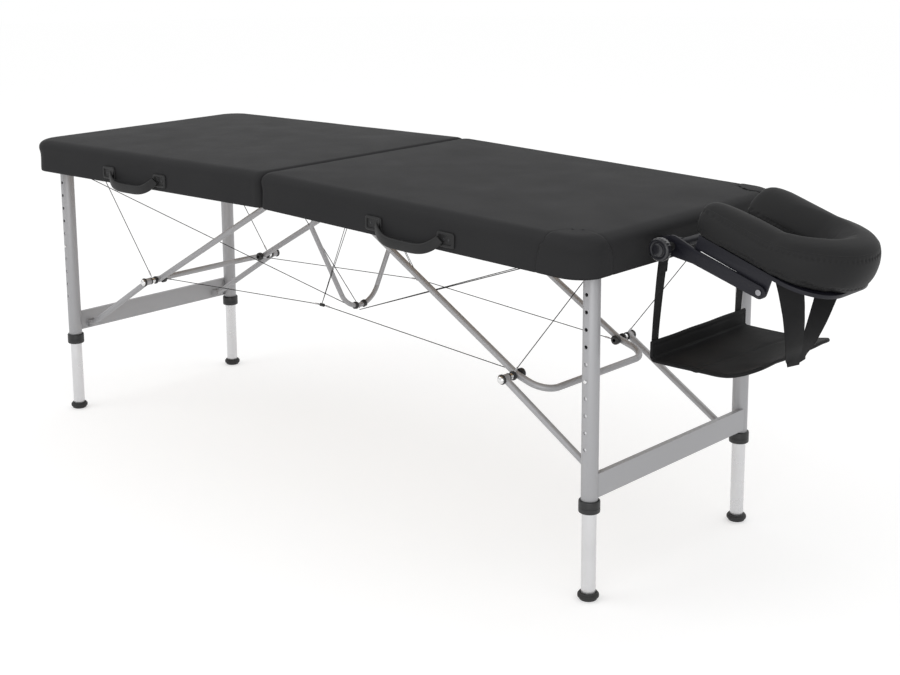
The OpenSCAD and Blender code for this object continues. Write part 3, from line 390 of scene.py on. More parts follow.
WEBBING = Finish("black_webbing", "webbing", Pattern.WEAVE, (0.006, 0.006, 0.0065), (0.011, 0.011, 0.0115),
                 (0.7, 0.85), 0.6, 0.0003, values=(("Threads", 640.0), ("Cross", 420.0)), sheen=0.05,
                 specular=0.2, uv=True)


# ------------------------------------------------------------ mesh helpers


@contextmanager
def editing(mesh: bpy.types.Mesh) -> Iterator[bmesh.types.BMesh]:
    """Opens a mesh for editing and writes it back.

    Args:
        mesh: The mesh.

    Yields:
        It as a bmesh.
    """
    bm = bmesh.new()
    bm.from_mesh(mesh)
    yield bm
    bm.to_mesh(mesh)
    bm.free()


def link_in(name: str, data: bpy.types.ID) -> Obj:
    """Puts data in the scene as an object at the origin."""
    obj = bpy.data.objects.new(name, data)
    bpy.context.scene.collection.objects.link(obj)
    return obj


def shade(mesh: bpy.types.Mesh, smooth: float) -> None:
    """Shades a mesh smooth up to an angle in degrees."""
    mesh.polygons.foreach_set("use_smooth", [True] * len(mesh.polygons))
    mesh.set_sharp_from_angle(angle=radians(smooth))
    mesh.update()


def outward_mesh(name: str, verts: Sequence[Point], faces: Faces) -> bpy.types.Mesh:
    """A mesh whose faces look outwards."""
    mesh = bpy.data.meshes.new(name)
    mesh.from_pydata([tuple(v) for v in verts], [], faces)
    with editing(mesh) as bm:
        bmesh.ops.recalc_face_normals(bm, faces=bm.faces)
    return mesh


def new_piece(name: str, verts: Sequence[Point], faces: Faces, finish: Finish, smooth: float = 40.0,
              uvs: Pairs | None = None) -> Obj:
    """Makes a mesh object at the origin with a finish and outward normals.

    Args:
        name: The piece's name.
        verts: Points in the row frame.
        faces: Corner indices.
        finish: The finish to dress it in.
        smooth: Angle in degrees past which an edge stays sharp.
        uvs: One UV pair per vertex, or None.

    Returns:
        The new object.
    """
    mesh = outward_mesh(name, verts, faces)
    if uvs is not None:
        layer = mesh.uv_layers.new(name="UVMap")
        for loop in mesh.loops:
            layer.data[loop.index].uv = uvs[loop.vertex_index]
    shade(mesh, smooth)
    mesh.materials.append(finish.material())
    return link_in(name, mesh)


def settle(obj: Obj, smooth: float = 40.0) -> Obj:
    """Applies an object's modifiers into a plain mesh.

    Args:
        obj: The piece.
        smooth: Smoothing angle of the result.

    Returns:
        The same object with no modifiers.
    """
    graph = bpy.context.evaluated_depsgraph_get()
    graph.update()
    baked = bpy.data.meshes.new_from_object(obj.evaluated_get(graph), depsgraph=graph)
    obj.modifiers.clear()
    old, obj.data = obj.data, baked
    baked.name = obj.name
    bpy.data.meshes.remove(old)
    shade(obj.data, smooth)
    return obj


def dress(obj: Obj, body: str, finish: Finish, *nodes: str) -> Obj:
    """Lets a piece ride on a body and hides the nodes it stands for.

    Args:
        obj: The piece.
        body: The CAD body that carries it.
        finish: Not used.
        nodes: CAD nodes that it replaces.

    Returns:
        The same object.
    """
    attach(obj, body)
    if nodes:
        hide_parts(*nodes)
    LOG.info("%s on %s, %d faces", obj.name, body, len(obj.data.polygons))
    return obj


def grid_faces(rows: int, cols: int, wrap: bool = True) -> Faces:
    """Faces of a grid of points laid out row by row.

    Args:
        rows: Number of rows.
        cols: Points in a row.
        wrap: Whether each row closes on itself.

    Returns:
        Quads as index tuples.
    """
    spots = [(r * cols, c, (c + 1) % cols) for r in range(rows - 1) for c in range(cols if wrap else cols - 1)]
    return [(r + c, r + d, r + cols + d, r + cols + c) for r, c, d in spots]


def tube_faces(rows: int, sides: int) -> Faces:
    """Faces of a row of rings with both ends closed."""
    ends = [tuple(range(sides - 1, -1, -1)), tuple(range((rows - 1) * sides, rows * sides))]
    return grid_faces(rows, sides) + ends


def fan_faces(base: int, sides: int, hub: int) -> Faces:
    """Faces from a ring of points to one point in its middle."""
    return [(base + k, base + (k + 1) % sides, hub) for k in range(sides)]


def lathe(name: str, centre: Point, axis: str, outline: Pairs, finish: Finish, steps: int = 40, sign: int = 1,
          closed: bool = False) -> Obj:
    """Turns an outline about an axis.

    Args:
        name: The piece's name.
        centre: Point that the outline's zero sits on.
        axis: "X", "Y" or "Z".
        outline: Pairs of distance along the axis and radius; a zero radius closes an end.
        finish: The finish.
        steps: Points round.
        sign: -1 turns the outline to point the other way along the axis.
        closed: Whether the outline closes on itself, for a ring.

    Returns:
        The turned piece.
    """
    verts: list[Vector] = []
    faces: Faces = []
    rows: list[list[int]] = []
    for along, radius in outline:
        count = 1 if radius < 1e-7 else steps
        rows.append(list(range(len(verts), len(verts) + count)))
        for a in (tau * k / steps for k in range(count)):
            u, v, w = radius * cos(a), radius * sin(a), sign * along
            verts.append(Vector(centre) + Vector({"X": (w, u, v), "Y": (u, w, v), "Z": (u, v, w)}[axis]))
    for a, b in zip(rows, rows[1:] + rows[:1] if closed else rows[1:]):
        for k in range(steps if len(a) + len(b) > 2 else 0):
            j = (k + 1) % steps
            if len(a) == 1:
                faces.append((a[0], b[k], b[j]))
            elif len(b) == 1:
                faces.append((a[k], b[0], a[j]))
            else:
                faces.append((a[k], b[k], b[j], a[j]))
    return new_piece(name, verts, faces, finish, 35.0)


def sweep(name: str, path: Sequence[Point], section: Pairs, finish: Finish, wide: Sequence[Point] | None = None,
          sizes: Sequence[float] | None = None) -> Obj:
    """Leads a closed section along a path, with a UV map in metres and closed ends.

    Args:
        name: The piece's name.
        path: Points of the centreline.
        section: Closed outline as pairs across the wide and thick directions.
        finish: The finish.
        wide: The section's wide direction at each point; None lets it follow the path.
        sizes: A scale of the section at each point.

    Returns:
        The swept piece.
    """
    pts = [Vector(p) for p in path]
    verts: list[Vector] = []
    uvs: list[tuple[float, float]] = []
    side = Vector((0, 0, 1)) if abs((pts[-1] - pts[0]).normalized().z) < 0.9 else Vector((0, 1, 0))
    travel, girth = 0.0, [0.0]
    for a, b in zip(section, section[1:]):
        girth.append(girth[-1] + dist(a, b))
    for i, p in enumerate(pts):
        if i:
            travel += (p - pts[i - 1]).length
        along = (pts[min(i + 1, len(pts) - 1)] - pts[max(i - 1, 0)]).normalized()
        across = Vector(wide[i]) if wide is not None else side
        side = (across - along * across.dot(along)).normalized()
        thick = along.cross(side)
        scale = sizes[i] if sizes is not None else 1.0
        for (u, v), g in zip(section, girth):
            verts.append(p + side * (u * scale) + thick * (v * scale))
            uvs.append((g, travel))
    return new_piece(name, verts, tube_faces(len(pts), len(section)), finish, uvs=uvs)


def circle(radius: float, sides: int) -> list[tuple[float, float]]:
    """A closed circle as a section."""
    return [(radius * cos(tau * k / sides), radius * sin(tau * k / sides)) for k in range(sides)]


def band(width: float, thick: float, edge: float = 0.35) -> list[tuple[float, float]]:
    """The section of a flat strap whose edges are drawn in by a share of its thickness."""
    w, t, e = width / 2, thick / 2, thick * edge
    return [(-w + e, -t), (-w / 2, -t), (0, -t), (w / 2, -t), (w - e, -t), (w, -t + e), (w, t - e),
            (w - e, t), (w / 2, t), (0, t), (-w / 2, t), (-w + e, t), (-w, t - e), (-w, -t + e)]


def smooth_path(points: Sequence[Point], steps: int = 8) -> list[Vector]:
    """A smooth curve through points, with a number of steps from one to the next."""
    p = [Vector(q) for q in points]
    p = [2 * p[0] - p[1], *p, 2 * p[-1] - p[-2]]
    out = []
    for a, b, c, d in zip(p, p[1:], p[2:], p[3:]):
        for t in (k / steps for k in range(steps)):
            out.append(0.5 * (2 * b + (c - a) * t + (2 * a - 5 * b + 4 * c - d) * t * t
                              + (3 * b - a - 3 * c + d) * t ** 3))
    return [*out, p[-2]]


def join(name: str, parts: Sequence[Obj]) -> Obj:
    """Joins pieces into one mesh and keeps each one's material.

    Args:
        name: The joined piece's name.
        parts: Pieces at the origin.

    Returns:
        The joined piece.
    """
    mesh = bpy.data.meshes.new(name)
    with editing(mesh) as bm:
        for part in parts:
            slots = []
            for mat in part.data.materials:
                if mat.name not in mesh.materials:
                    mesh.materials.append(mat)
                slots.append(list(mesh.materials).index(mat))
            before = len(bm.faces)
            bm.from_mesh(part.data)
            bm.faces.ensure_lookup_table()
            for f in bm.faces[before:]:
                f.material_index = slots[min(f.material_index, len(slots) - 1)]
            bpy.data.objects.remove(part)
    return link_in(name, mesh)


# ------------------------------------------------------------ repeats


class Repeater:
    """A Geometry Nodes tree for what repeats: stitches, screws, staples, ferrules and teeth."""

    @staticmethod
    def tree() -> bpy.types.NodeTree:
        """Builds the tree that sets an item on every point of a mesh, turned to the point's own axes.

        Returns:
            The node group, with named inputs for the item, its size and its finish.
        """
        found = bpy.data.node_groups.get("SetOnPoints")
        if found:
            return found
        tree = bpy.data.node_groups.new("SetOnPoints", "GeometryNodeTree")
        sockets(tree, {"Points": ("Geometry", None), "Item": ("Object", None), "Size": ("Float", 1.0),
                       "Size Spread": ("Float", 0.0), "Seed": ("Int", 7), "Finish": ("Material", None)},
                {"Pieces": "Geometry"})
        read, aim, vector = "GeometryNodeInputNamedAttribute", "FunctionNodeAlignRotationToVector", "FLOAT_VECTOR"
        wire(tree, {
            "in": ("NodeGroupInput",), "out": ("NodeGroupOutput",), "item": ("GeometryNodeObjectInfo",),
            "along": (read, {"Name": "along"}, {"data_type": vector}),
            "up": (read, {"Name": "up"}, {"data_type": vector}),
            "turn": (aim, {}, {"axis": "X"}), "tip": (aim, {}, {"axis": "Z", "pivot_axis": "X"}),
            "low": ("Math", {}, {"operation": "SUBTRACT"}), "high": ("Math", {}, {"operation": "ADD"}),
            "vary": ("FunctionNodeRandomValue",), "place": ("GeometryNodeInstanceOnPoints",),
            "real": ("GeometryNodeRealizeInstances",), "paint": ("GeometryNodeSetMaterial",)},
            "in.Item>item.Object; along.Attribute>turn.Vector; turn.Rotation>tip.Rotation; "
            "up.Attribute>tip.Vector; in.Size>low.0; in.Size Spread>low.1; low.0>vary.2; in.Size>high.0; "
            "in.Size Spread>high.1; high.0>vary.3; in.Seed>vary.Seed; in.Points>place.Points; "
            "item.Geometry>place.Instance; tip.Rotation>place.Rotation; vary.1>place.Scale; "
            "place.Instances>real.Geometry; real.Geometry>paint.Geometry; in.Finish>paint.Material; "
            "paint.Geometry>out.Pieces")
        return tree

    @classmethod
    def spread(cls, name: str, item: Obj, spots: Sequence[tuple[Point, Point, Point]], finish: Finish,
               size: float = 1.0, vary: float = 0.0) -> Obj:
        """Sets copies of an item on spots and bakes them to one plain mesh.

        Args:
            name: The piece's name.
            item: The object to repeat, modelled at the origin with X along and Z out.
            spots: For each copy its place, its X direction and its Z direction.
            finish: The finish of all copies.
            size: Scale of the copies.
            vary: Random change of that scale.

        Returns:
            One object that holds all copies.
        """
        mesh = bpy.data.meshes.new(name)
        mesh.from_pydata([tuple(s[0]) for s in spots], [], [])
        for label, k in (("along", 1), ("up", 2)):
            attribute = mesh.attributes.new(label, "FLOAT_VECTOR", "POINT")
            attribute.data.foreach_set("vector", [c for s in spots for c in s[k]])
        obj = link_in(name, mesh)
        mod = obj.modifiers.new("repeat", "NODES")
        mod.node_group = cls.tree()
        values = {"Item": item, "Size": size, "Size Spread": vary, "Finish": finish.material()}
        for socket in mod.node_group.interface.items_tree:
            if socket.in_out == "INPUT" and socket.name in values:
                mod[socket.identifier] = values[socket.name]
        settle(obj)
        obj.data.materials.clear()
        obj.data.materials.append(finish.material())
        obj.data.polygons.foreach_set("material_index", [0] * len(obj.data.polygons))
        return obj


def item(name: str, rings: Sequence[Sequence[Point]], middle: Point | None = None) -> Obj:
    """Makes an item for a repeat, which isn't linked to the scene.

    Args:
        name: Its name.
        rings: Rings of points in mm.
        middle: A point in mm that closes the last ring, or None for a flat end.

    Returns:
        The item.
    """
    rows, sides = len(rings), len(rings[0])
    verts = [Vector(p) * MM for ring in rings for p in ring]
    faces = tube_faces(rows, sides)
    if middle:
        faces = faces[:-1] + fan_faces((rows - 1) * sides, sides, len(verts))
        verts.append(Vector(middle) * MM)
    return bpy.data.objects.new(name, outward_mesh(name, verts, faces))


def prism(name: str, outline: Pairs, length: float, ease: float) -> Obj:
    """A small prism along X, centred.

    Args:
        name: Its name.
        outline: Corners in mm, as Y and Z.
        length: Length in mm.
        ease: Share by which both ends are drawn in.

    Returns:
        The item.
    """
    return item(name, [[(x * length, y * share, z * share) for y, z in outline]
                       for x, share in ((-0.5, 1 - ease), (-0.42, 1.0), (0.42, 1.0), (0.5, 1 - ease))])


class Items:
    """The items that repeats use, each made once."""

    def __init__(self) -> None:
        """Makes every item."""
        self.ferrule = prism("ferrule_item", circle(2.1, 16), 13.0, 0.2)
        self.tooth = prism("tooth_item", ((-1.2, -0.6), (1.2, -0.6), (0.5, 1.8), (-0.5, 1.8)), 4.6, 0.1)
        self.staple = prism("staple_item", ((-0.6, -0.4), (0.6, -0.4), (0.5, 0.5), (-0.5, 0.5)), 11.0, 0.2)
        # Along, up and radius of a thread 2.4 mm long that dips at both ends
        waist = ((-1.2, -0.2, 0.12), (-0.8, 0.12, 0.28), (0, 0.25, 0.32), (0.8, 0.12, 0.28), (1.2, -0.2, 0.12))
        self.stitch = item("stitch_item", [[(x, y, z + h) for y, h in circle(r, 5)] for x, z, r in waist])
        self.screw = self.screw_item(4.0, 1.6, 24)

    @staticmethod
    def screw_item(radius: float, height: float, sides: int) -> Obj:
        """A domed screw head, in mm, with a cross slot pressed into its inner rings."""
        rings = []
        for share, lift in ((1.0, 0.0), (0.97, 0.45), (0.8, 0.8), (0.55, 0.95), (0.3, 1.0)):
            slots = [share < 0.6 and abs(sin(2 * tau * k / sides)) < 0.3 for k in range(sides)]
            rings.append([(x, y, height * (lift - (0.45 if slot else 0.0)))
                          for (x, y), slot in zip(circle(radius * share, sides), slots)])
        return item("screw_item", rings, (0, 0, height * 0.5))


ITEMS = Items()


# ------------------------------------------------------------ CAD metalwork


@dataclass
class Metalwork:
    """The CAD pieces whose shape is right: copied, merged, eased along their edges and dressed."""

    ease: float = 0.0005
    merge: float = 1e-6
    flat_deg: float = 0.5
    sharp_deg: float = 50.0

    smooth_deg: float = 35.0
    # Finishes and their nodes, in the order in which they are made
    nodes: tuple[tuple[Finish, str], ...] = (
        (PLYWOOD, "foot_board head_board"), (RAIL_WOOD, "foot_frame head_frame"),
        (ZINC, "foot_hinge_leaves head_hinge_leaves hinge_links"), (CHROME, "hinge_pins"),
        (BRACKET, "foot_leg_hinges head_leg_hinges"),
        (SILVER, "foot_outer_legs head_outer_legs foot_crossbar head_crossbar"),
        (ALUMINIUM, "foot_near_inner_leg foot_far_inner_leg head_near_inner_leg head_far_inner_leg"),
        (CHROME, "foot_near_button foot_far_button head_near_button head_far_button"),
        (BRACKET, "foot_stay_hinges head_stay_hinges"),
        (SILVER, "foot_stay_tube head_stay_tube foot_lower_stays head_lower_stays brace_loop"),
        (BLACK_PLASTIC, "loop_clamps"), (POWDER, "face_rods face_axle face_arms"),
        (BRACKET, "face_pivots"), (POWDER, "face_platform"))

    def build(self) -> None:
        """Makes a dressed copy of each node in its place."""
        for finish, node in ((finish, node) for finish, names in self.nodes for node in names.split()):
            mesh = frame["nodes"][node].data.copy()
            with editing(mesh) as bm:
                bmesh.ops.remove_doubles(bm, verts=bm.verts, dist=self.merge)
                bmesh.ops.dissolve_limit(bm, angle_limit=radians(self.flat_deg), verts=bm.verts, edges=bm.edges)
            mesh.materials.clear()
            mesh.materials.append(finish.material())
            obj = link_in(f"{node}_piece", mesh)
            bevel = obj.modifiers.new("ease", "BEVEL")
            bevel.width, bevel.segments, bevel.use_clamp_overlap = self.ease, 2, True
            bevel.limit_method, bevel.angle_limit = "ANGLE", radians(self.sharp_deg)
            settle(obj, self.smooth_deg)
            dress(obj, body_of(node), finish, node)


# ------------------------------------------------------------ table top


@dataclass
class PanelCover:
    """The padded half of the table top: one vinyl skin over the cushion and down the sides."""

    end: End
    fold_share: float = 0.45
    corner_steps: int = 10
    # Height over the bottom edge, inset and bulge of the rings, from the hem up, in mm
    side: Pairs = (
        (-1.2, 24), (-1.4, 14), (-1.4, 5), (-0.6, 1.2), (1.6, 0.0), (6, -0.2), (14, 0.1), (24, 0.5), (34, 0.8),
        (42, 0.7), (49, 0.0), (54, -1.0), (59, -1.8), (64, -1.6), (68, -0.6), (71.5, 1.2), (74.3, 3.6),
        (76.8, 6.8), (78.8, 10.6), (80.2, 14.6), (81.0, 19.0), (81.5, 24.0))
    crown_steps: int = 30
    crown_reach: float = 0.8
    end_steps: int = 38
    mid_steps: int = 26
    end_run: float = 0.125
    hem_in: float = 0.0005
    pull: float = 0.00045
    wave: float = 0.0009

    def ring(self, inset: float, fold_inset: float, z: float) -> list[list[float]]:
        """One ring of the outline, with the same number of points at every inset."""
        r1 = max(CORNER_R - inset / 2, FOLD_R)
        x0, x1, w = FOLD_GAP / 2 + fold_inset, HALF_LEN - inset, HALF_W - inset
        corners = ((x1 - r1, w - r1, r1, 0), (x0 + FOLD_R, w - FOLD_R, FOLD_R, 90),
                   (x0 + FOLD_R, -w + FOLD_R, FOLD_R, 180), (x1 - r1, -w + r1, r1, 270))
        arcs = [[[cx + r * cos(radians(a0 + 90 * i / self.corner_steps)),
                  cy + r * sin(radians(a0 + 90 * i / self.corner_steps)), z]
                 for i in range(self.corner_steps + 1)] for cx, cy, r, a0 in corners]
        out: list[list[float]] = []
        for arc, following in zip(arcs, arcs[1:] + arcs[:1]):
            start, stop = arc[-1], following[0]
            out += arc + [[a + (b - a) * t for a, b in zip(start, stop)] for t in self.shares(dist(start, stop))]
        return out

    def shares(self, run: float) -> list[float]:
        """Shares of a straight run that carry points, close together near both corners."""
        edge = min(self.end_run / run, 0.4)
        first = [edge * i / self.end_steps for i in range(1, self.end_steps + 1)]
        middle = [edge + (1 - 2 * edge) * i / self.mid_steps for i in range(1, self.mid_steps)]
        return first + middle + [1 - t for t in reversed(first)]

    def rings(self) -> list[list[list[float]]]:
        """All rings from the hem to the crown, in panel space."""
        out = [self.ring(inset * MM, inset * MM * (1 if z < 0 else self.fold_share), z * MM)
               for z, inset in self.side]
        top, rim = self.side[-1]
        for t in (k / self.crown_steps for k in range(1, self.crown_steps + 1)):
            share = self.crown_reach * (0.25 * t + 0.75 * t ** 2.2)
            lift = 1 - (1 - share / self.crown_reach) ** 2.4
            d = rim * MM + share * (HALF_W - 0.03)
            out.append(self.ring(d, d * (self.fold_share + (1 - self.fold_share) * min(1, share * 3)),
                                 top * MM + lift * (CROWN_H - 0.0005)))
        return out

    def shaped(self, p: Sequence[float]) -> Vector:
        """A point of the rings in the row frame, with tension and softness added."""
        x, y, z = p
        sign = self.end.sign
        soft = noise.noise(Vector((x * 6, y * 6, 0.3 + sign))) * 0.00035
        soft += noise.noise(Vector((x * 17, y * 17, 4.1 * sign))) * 0.00012
        z += soft * max(0.0, min(1.0, (z - 0.070) / 0.010))
        # Pulls of the cover towards the four corners
        ex, ey = min(HALF_LEN - x, x), HALF_W - abs(y)
        near = exp(-((ex * ex + ey * ey) / 0.014))
        fan = sin(atan2(ey + 0.02, ex + 0.02) * 16 + 2.0 * noise.noise(Vector((x * 9, y * 9, 2.0))))
        y += copysign(self.pull * near * fan * (1.0 if 0.012 < z < 0.064 else 0.4), y)
        # The side skin isn't quite flat between the rails
        if ey < 0.004 and z > 0.004:
            y += copysign(noise.noise(Vector((x * 8, y * 3, z * 14 + 5))) * self.wave, y)
        return world(x, y, z, sign)

    def build(self) -> Obj:
        """Builds and dresses the cover.

        Returns:
            The padded cover.
        """
        rings = self.rings()
        rows, cols = len(rings), len(rings[0])
        verts = [self.shaped(p) for ring in rings for p in ring]
        faces = grid_faces(rows, cols)
        # The crown closes with a fan, the hem turns in over the frame's lower edge
        crown = (rows - 1) * cols
        faces += fan_faces(crown, cols, len(verts))
        verts.append(sum(verts[crown:], Vector()) / cols)
        hem = len(verts)
        verts += [world(p[0], p[1], self.hem_in, self.end.sign) for p in rings[0]]
        faces += [(hem + c, hem + (c + 1) % cols, (c + 1) % cols, c) for c in range(cols)]
        name = self.end.value
        obj = new_piece(f"{name}_cover", verts, faces, VINYL, 180.0)
        dress(obj, self.end.panel, VINYL, f"{name}_cushion", f"{name}_skirt")
        return obj


# ------------------------------------------------------------ soft work


def puff(obj: Obj, voxel: float, pressure: float, cap: float, frames: int = 20) -> None:
    """Remeshes a closed form and swells it with a cloth simulation.

    Args:
        obj: The form, closed.
        voxel: Size of the remesh in metres.
        pressure: Inner pressure of the cloth.
        cap: The furthest that a point may move.
        frames: Length of the simulation.
    """
    remesh = obj.modifiers.new("remesh", "REMESH")
    remesh.mode, remesh.voxel_size = "VOXEL", voxel
    settle(obj)
    before = np.array([v.co[:] for v in obj.data.vertices])
    cloth = obj.modifiers.new("cloth", "CLOTH")
    cloth.settings.use_pressure = True
    cloth.settings.uniform_pressure_force = pressure
    cloth.settings.effector_weights.gravity = 0.0
    cloth.settings.tension_stiffness = 25.0
    cloth.point_cache.frame_start, cloth.point_cache.frame_end = 1, frames
    for step in range(1, frames + 1):
        bpy.context.scene.frame_set(step)
    graph = bpy.context.evaluated_depsgraph_get()
    move = np.array([v.co[:] for v in obj.evaluated_get(graph).data.vertices]) - before
    obj.modifiers.clear()
    bpy.context.scene.frame_set(1)
    size = np.linalg.norm(move, axis=1, keepdims=True)
    move *= np.minimum(1.0, cap / np.maximum(size, 1e-9))
    obj.data.vertices.foreach_set("co", (before + move).ravel())
    obj.data.update()
    obj.modifiers.new("soft", "SUBSURF").levels = 1
    settle(obj, 180.0)


def laid_on(obj: Obj, line: Sequence[Point]) -> Line:
    """Lays a line on a piece's surface.

    Args:
        obj: The piece.
        line: Points near the surface.

    Returns:
        For each point its place on the surface and the surface's normal there.
    """
    tree = BVHTree.FromPolygons([v.co for v in obj.data.vertices], [p.vertices for p in obj.data.polygons])
    return [tree.find_nearest(Vector(p))[:2] for p in line]


def crease(obj: Obj, line: Line, depth: float, width: float) -> None:
    """Presses a seam into a piece along a line on its surface.

    Args:
        obj: The piece.
        line: The line's points and normals.
        depth: Depth of the seam.
        width: Distance at which it has run out.
    """
    tree = KDTree(len(line))
    for i, (place, _) in enumerate(line):
        tree.insert(place, i)
    tree.balance()
    for v in obj.data.vertices:
        gap = tree.find(v.co)[2]
        if gap < width * 2.5:
            v.co -= v.normal * depth * exp(-((gap / width) ** 2))
    obj.data.update()


def stitch_row(name: str, line: Line, pitch: float = 0.0042, lift: float = 0.0001) -> Obj:
    """Sets stitches along a line that lies on a surface.

    Args:
        name: The row's name.
        line: Points and normals.
        pitch: Distance from stitch to stitch.
        lift: Height of the thread over the line.

    Returns:
        The row as one piece.
    """
    spots, travel, due = [], 0.0, pitch / 2
    for (a, n), (b, _) in zip(line, line[1:]):
        run = (b - a).length
        while run > 1e-9 and travel + run >= due:
            spots.append((a + (b - a) * ((due - travel) / run) + n * lift, (b - a).normalized(), n))
            due += pitch
        travel += run
    return Repeater.spread(name, ITEMS.stitch, spots, THREAD, vary=0.12)


@dataclass
class FaceCushion:
    """The horseshoe cushion of the face rest: swollen by a simulation, then sewn."""

    path_y: float = 0.092
    path_end: float = -0.012
    path_start: float = -0.176
    half_w: float = 0.056
    thick: float = 0.070
    rise: float = 0.022
    base: float = 0.0415
    arm_steps: int = 14
    bend_steps: int = 40
    voxel: float = 0.0048
    pressure: float = 4.0
    cap: float = 0.006
    seam_w: float = 0.0032
    # Place of each seam on the section, and its depth
    seams: tuple[tuple[float, float, float], ...] = (
        (0.90, 0.78, 0.0022), (-0.95, 0.36, 0.0018), (0.98, 0.10, 0.0016))
    # Outline of the section as shares of its half width (outwards) and height (up)
    section: Pairs = (
        (0.92, 0.08), (0.99, 0.34), (0.97, 0.60), (0.84, 0.84), (0.58, 0.97), (0.24, 1.0), (-0.10, 0.93),
        (-0.42, 0.79), (-0.72, 0.60), (-0.94, 0.38), (-0.97, 0.18), (-0.84, 0.02), (-0.4, 0.0), (0.1, 0.0),
        (0.6, 0.0), (0.82, 0.01))

    def station(self, t: float) -> tuple[float, float, float]:
        """Place and heading on the horseshoe; t runs from -1 over the bend, 0 to 1, to 2."""
        run = self.path_end - self.path_start
        if t < 0:
            return self.path_end + t * run, -self.path_y, 0.0
        if t > 1:
            return self.path_end - (t - 1) * run, self.path_y, pi
        a = pi * t
        return self.path_end + self.path_y * sin(a), -self.path_y * cos(a), a

    def stations(self) -> list[tuple[float, float]]:
        """All stations with the section's size there; both ends are round."""
        ends = [(-1.0, 0.5), (-0.985, 0.69), (-0.95, 0.82), (-0.88, 0.92), (-0.77, 0.98)]
        arm = [(-0.68 * (1 - i / self.arm_steps), 1.0) for i in range(self.arm_steps)]
        bend = [(i / self.bend_steps, 1.0) for i in range(self.bend_steps + 1)]
        return ends + arm + bend + [(1 - t, s) for t, s in reversed(ends + arm)]

    def at(self, t: float, size: float, across: float, up: float) -> Vector:
        """A point of the form in the row frame."""
        x, y, a = self.station(t)
        swell = self.thick + self.rise * (sin(a) if 0 <= t <= 1 else 0.0)
        mid = swell * 0.42
        c, h = across * self.half_w * size, mid + (up * swell - mid) * size
        return platform(x + sin(a) * c, y - cos(a) * c, self.base + h)

    def seam(self, across: float, up: float) -> list[Vector]:
        """A line led round the whole horseshoe at one place of the section."""
        return [self.at(t, s, across, up) for t, s in self.stations()]

    def build(self) -> None:
        """Makes the cushion, its seams and its stitches."""
        outline = smooth_path([(u, v, 0) for u, v in (*self.section, self.section[0])], 3)[:-1]
        spots = self.stations()
        verts = [self.at(t, s, p.x, p.y) for t, s in spots for p in outline]
        obj = new_piece("face_pad", verts, tube_faces(len(spots), len(outline)), FACE_VINYL, 180.0)
        puff(obj, self.voxel, self.pressure, self.cap)
        for line, depth in [(laid_on(obj, self.seam(across, up)), depth) for across, up, depth in self.seams]:
            crease(obj, line, depth, self.seam_w)
        shade(obj.data, 180.0)
        body = body_of("face_cushion")
        dress(obj, body, FACE_VINYL, "face_cushion")
        rows = [stitch_row(f"face_pad_thread_{name}", laid_on(obj, self.seam(across, up)))
                for name, across, up in (("a", 0.80, 0.88), ("b", -0.90, 0.42))]
        dress(join("face_pad_threads", rows), body, THREAD)
        self.hook_tape(body)

    def hook_tape(self, body: str) -> None:
        """The fuzzy tape under the pad that holds it on the platform."""
        pieces = []
        for side, _ in SIDES:
            for start, near in ((0.004, 0), (0.05, 1)):
                y = side * (self.path_y - 0.004 * near)
                path = [platform(self.path_start + start + 0.03 * k / 6, y, self.base - 0.0008) for k in range(7)]
                wide = [Vector((0, 1, 0))] * len(path)
                pieces.append(sweep(f"tape_{side}_{near}", path, band(0.05, 0.0022), WEBBING, wide))
        dress(join("hook_tape", pieces), body, WEBBING)


@dataclass
class FaceFittings:
    """The clamp knob, and the teeth on the platform's quadrants."""

    knob_y: float = -0.164
    lobes: int = 22
    flute: float = 0.0007
    # Distance outwards from the knob's back, radius, and share of the flutes' depth
    rows: tuple[tuple[float, float, float], ...] = (
        (0.0, 0.0185, 0.2), (0.001, 0.0205, 0.4), (0.004, 0.0228, 0.9), (0.010, 0.0235, 1.0), (0.0145, 0.0233, 1.0),
        (0.0168, 0.0222, 0.8), (0.018, 0.0200, 0.4), (0.0178, 0.0170, 0.0), (0.0165, 0.0145, 0.0),
        (0.0170, 0.0130, 0.0), (0.0205, 0.0124, 0.0), (0.0216, 0.0100, 0.0), (0.0219, 0.0050, 0.0))
    hub: float = 0.022
    teeth_r: float = 0.160
    teeth_y: float = 0.125

    def knob(self) -> None:
        """A knob with finger flutes and a raised hub."""
        steps = self.lobes * 6
        verts: list[Vector] = []
        for out, radius, share in self.rows:
            for a in (tau * k / steps for k in range(steps)):
                r = radius - share * self.flute * max(0.0, cos(self.lobes * a))
                verts.append(Vector((AXLE.x + r * cos(a), self.knob_y - out, AXLE.z + r * sin(a))))
        faces = grid_faces(len(self.rows), steps)
        for base, out in ((0, 0.0), (len(verts) - steps, self.hub)):
            faces += fan_faces(base, steps, len(verts))
            verts.append(Vector((AXLE.x, self.knob_y - out, AXLE.z)))
        dress(new_piece("clamp_knob", verts, faces, KNOB, 50.0), body_of("face_knob"), KNOB, "face_knob")

    def teeth(self) -> None:
        """Fine teeth along both quadrants of the platform."""
        spots = []
        for side, _ in SIDES:
            for a in (pi - radians(2.4 + 1.15 * k) for k in range(8)):
                x, z = self.teeth_r * cos(a), self.teeth_r * sin(a)
                out = (platform(x, 0, z) - PIVOT).normalized()
                spots.append((platform(x, side * self.teeth_y, z), Vector((0, 1, 0)), out))
        dress(Repeater.spread("quadrant_teeth", ITEMS.tooth, spots, POWDER), body_of("face_platform"), POWDER)


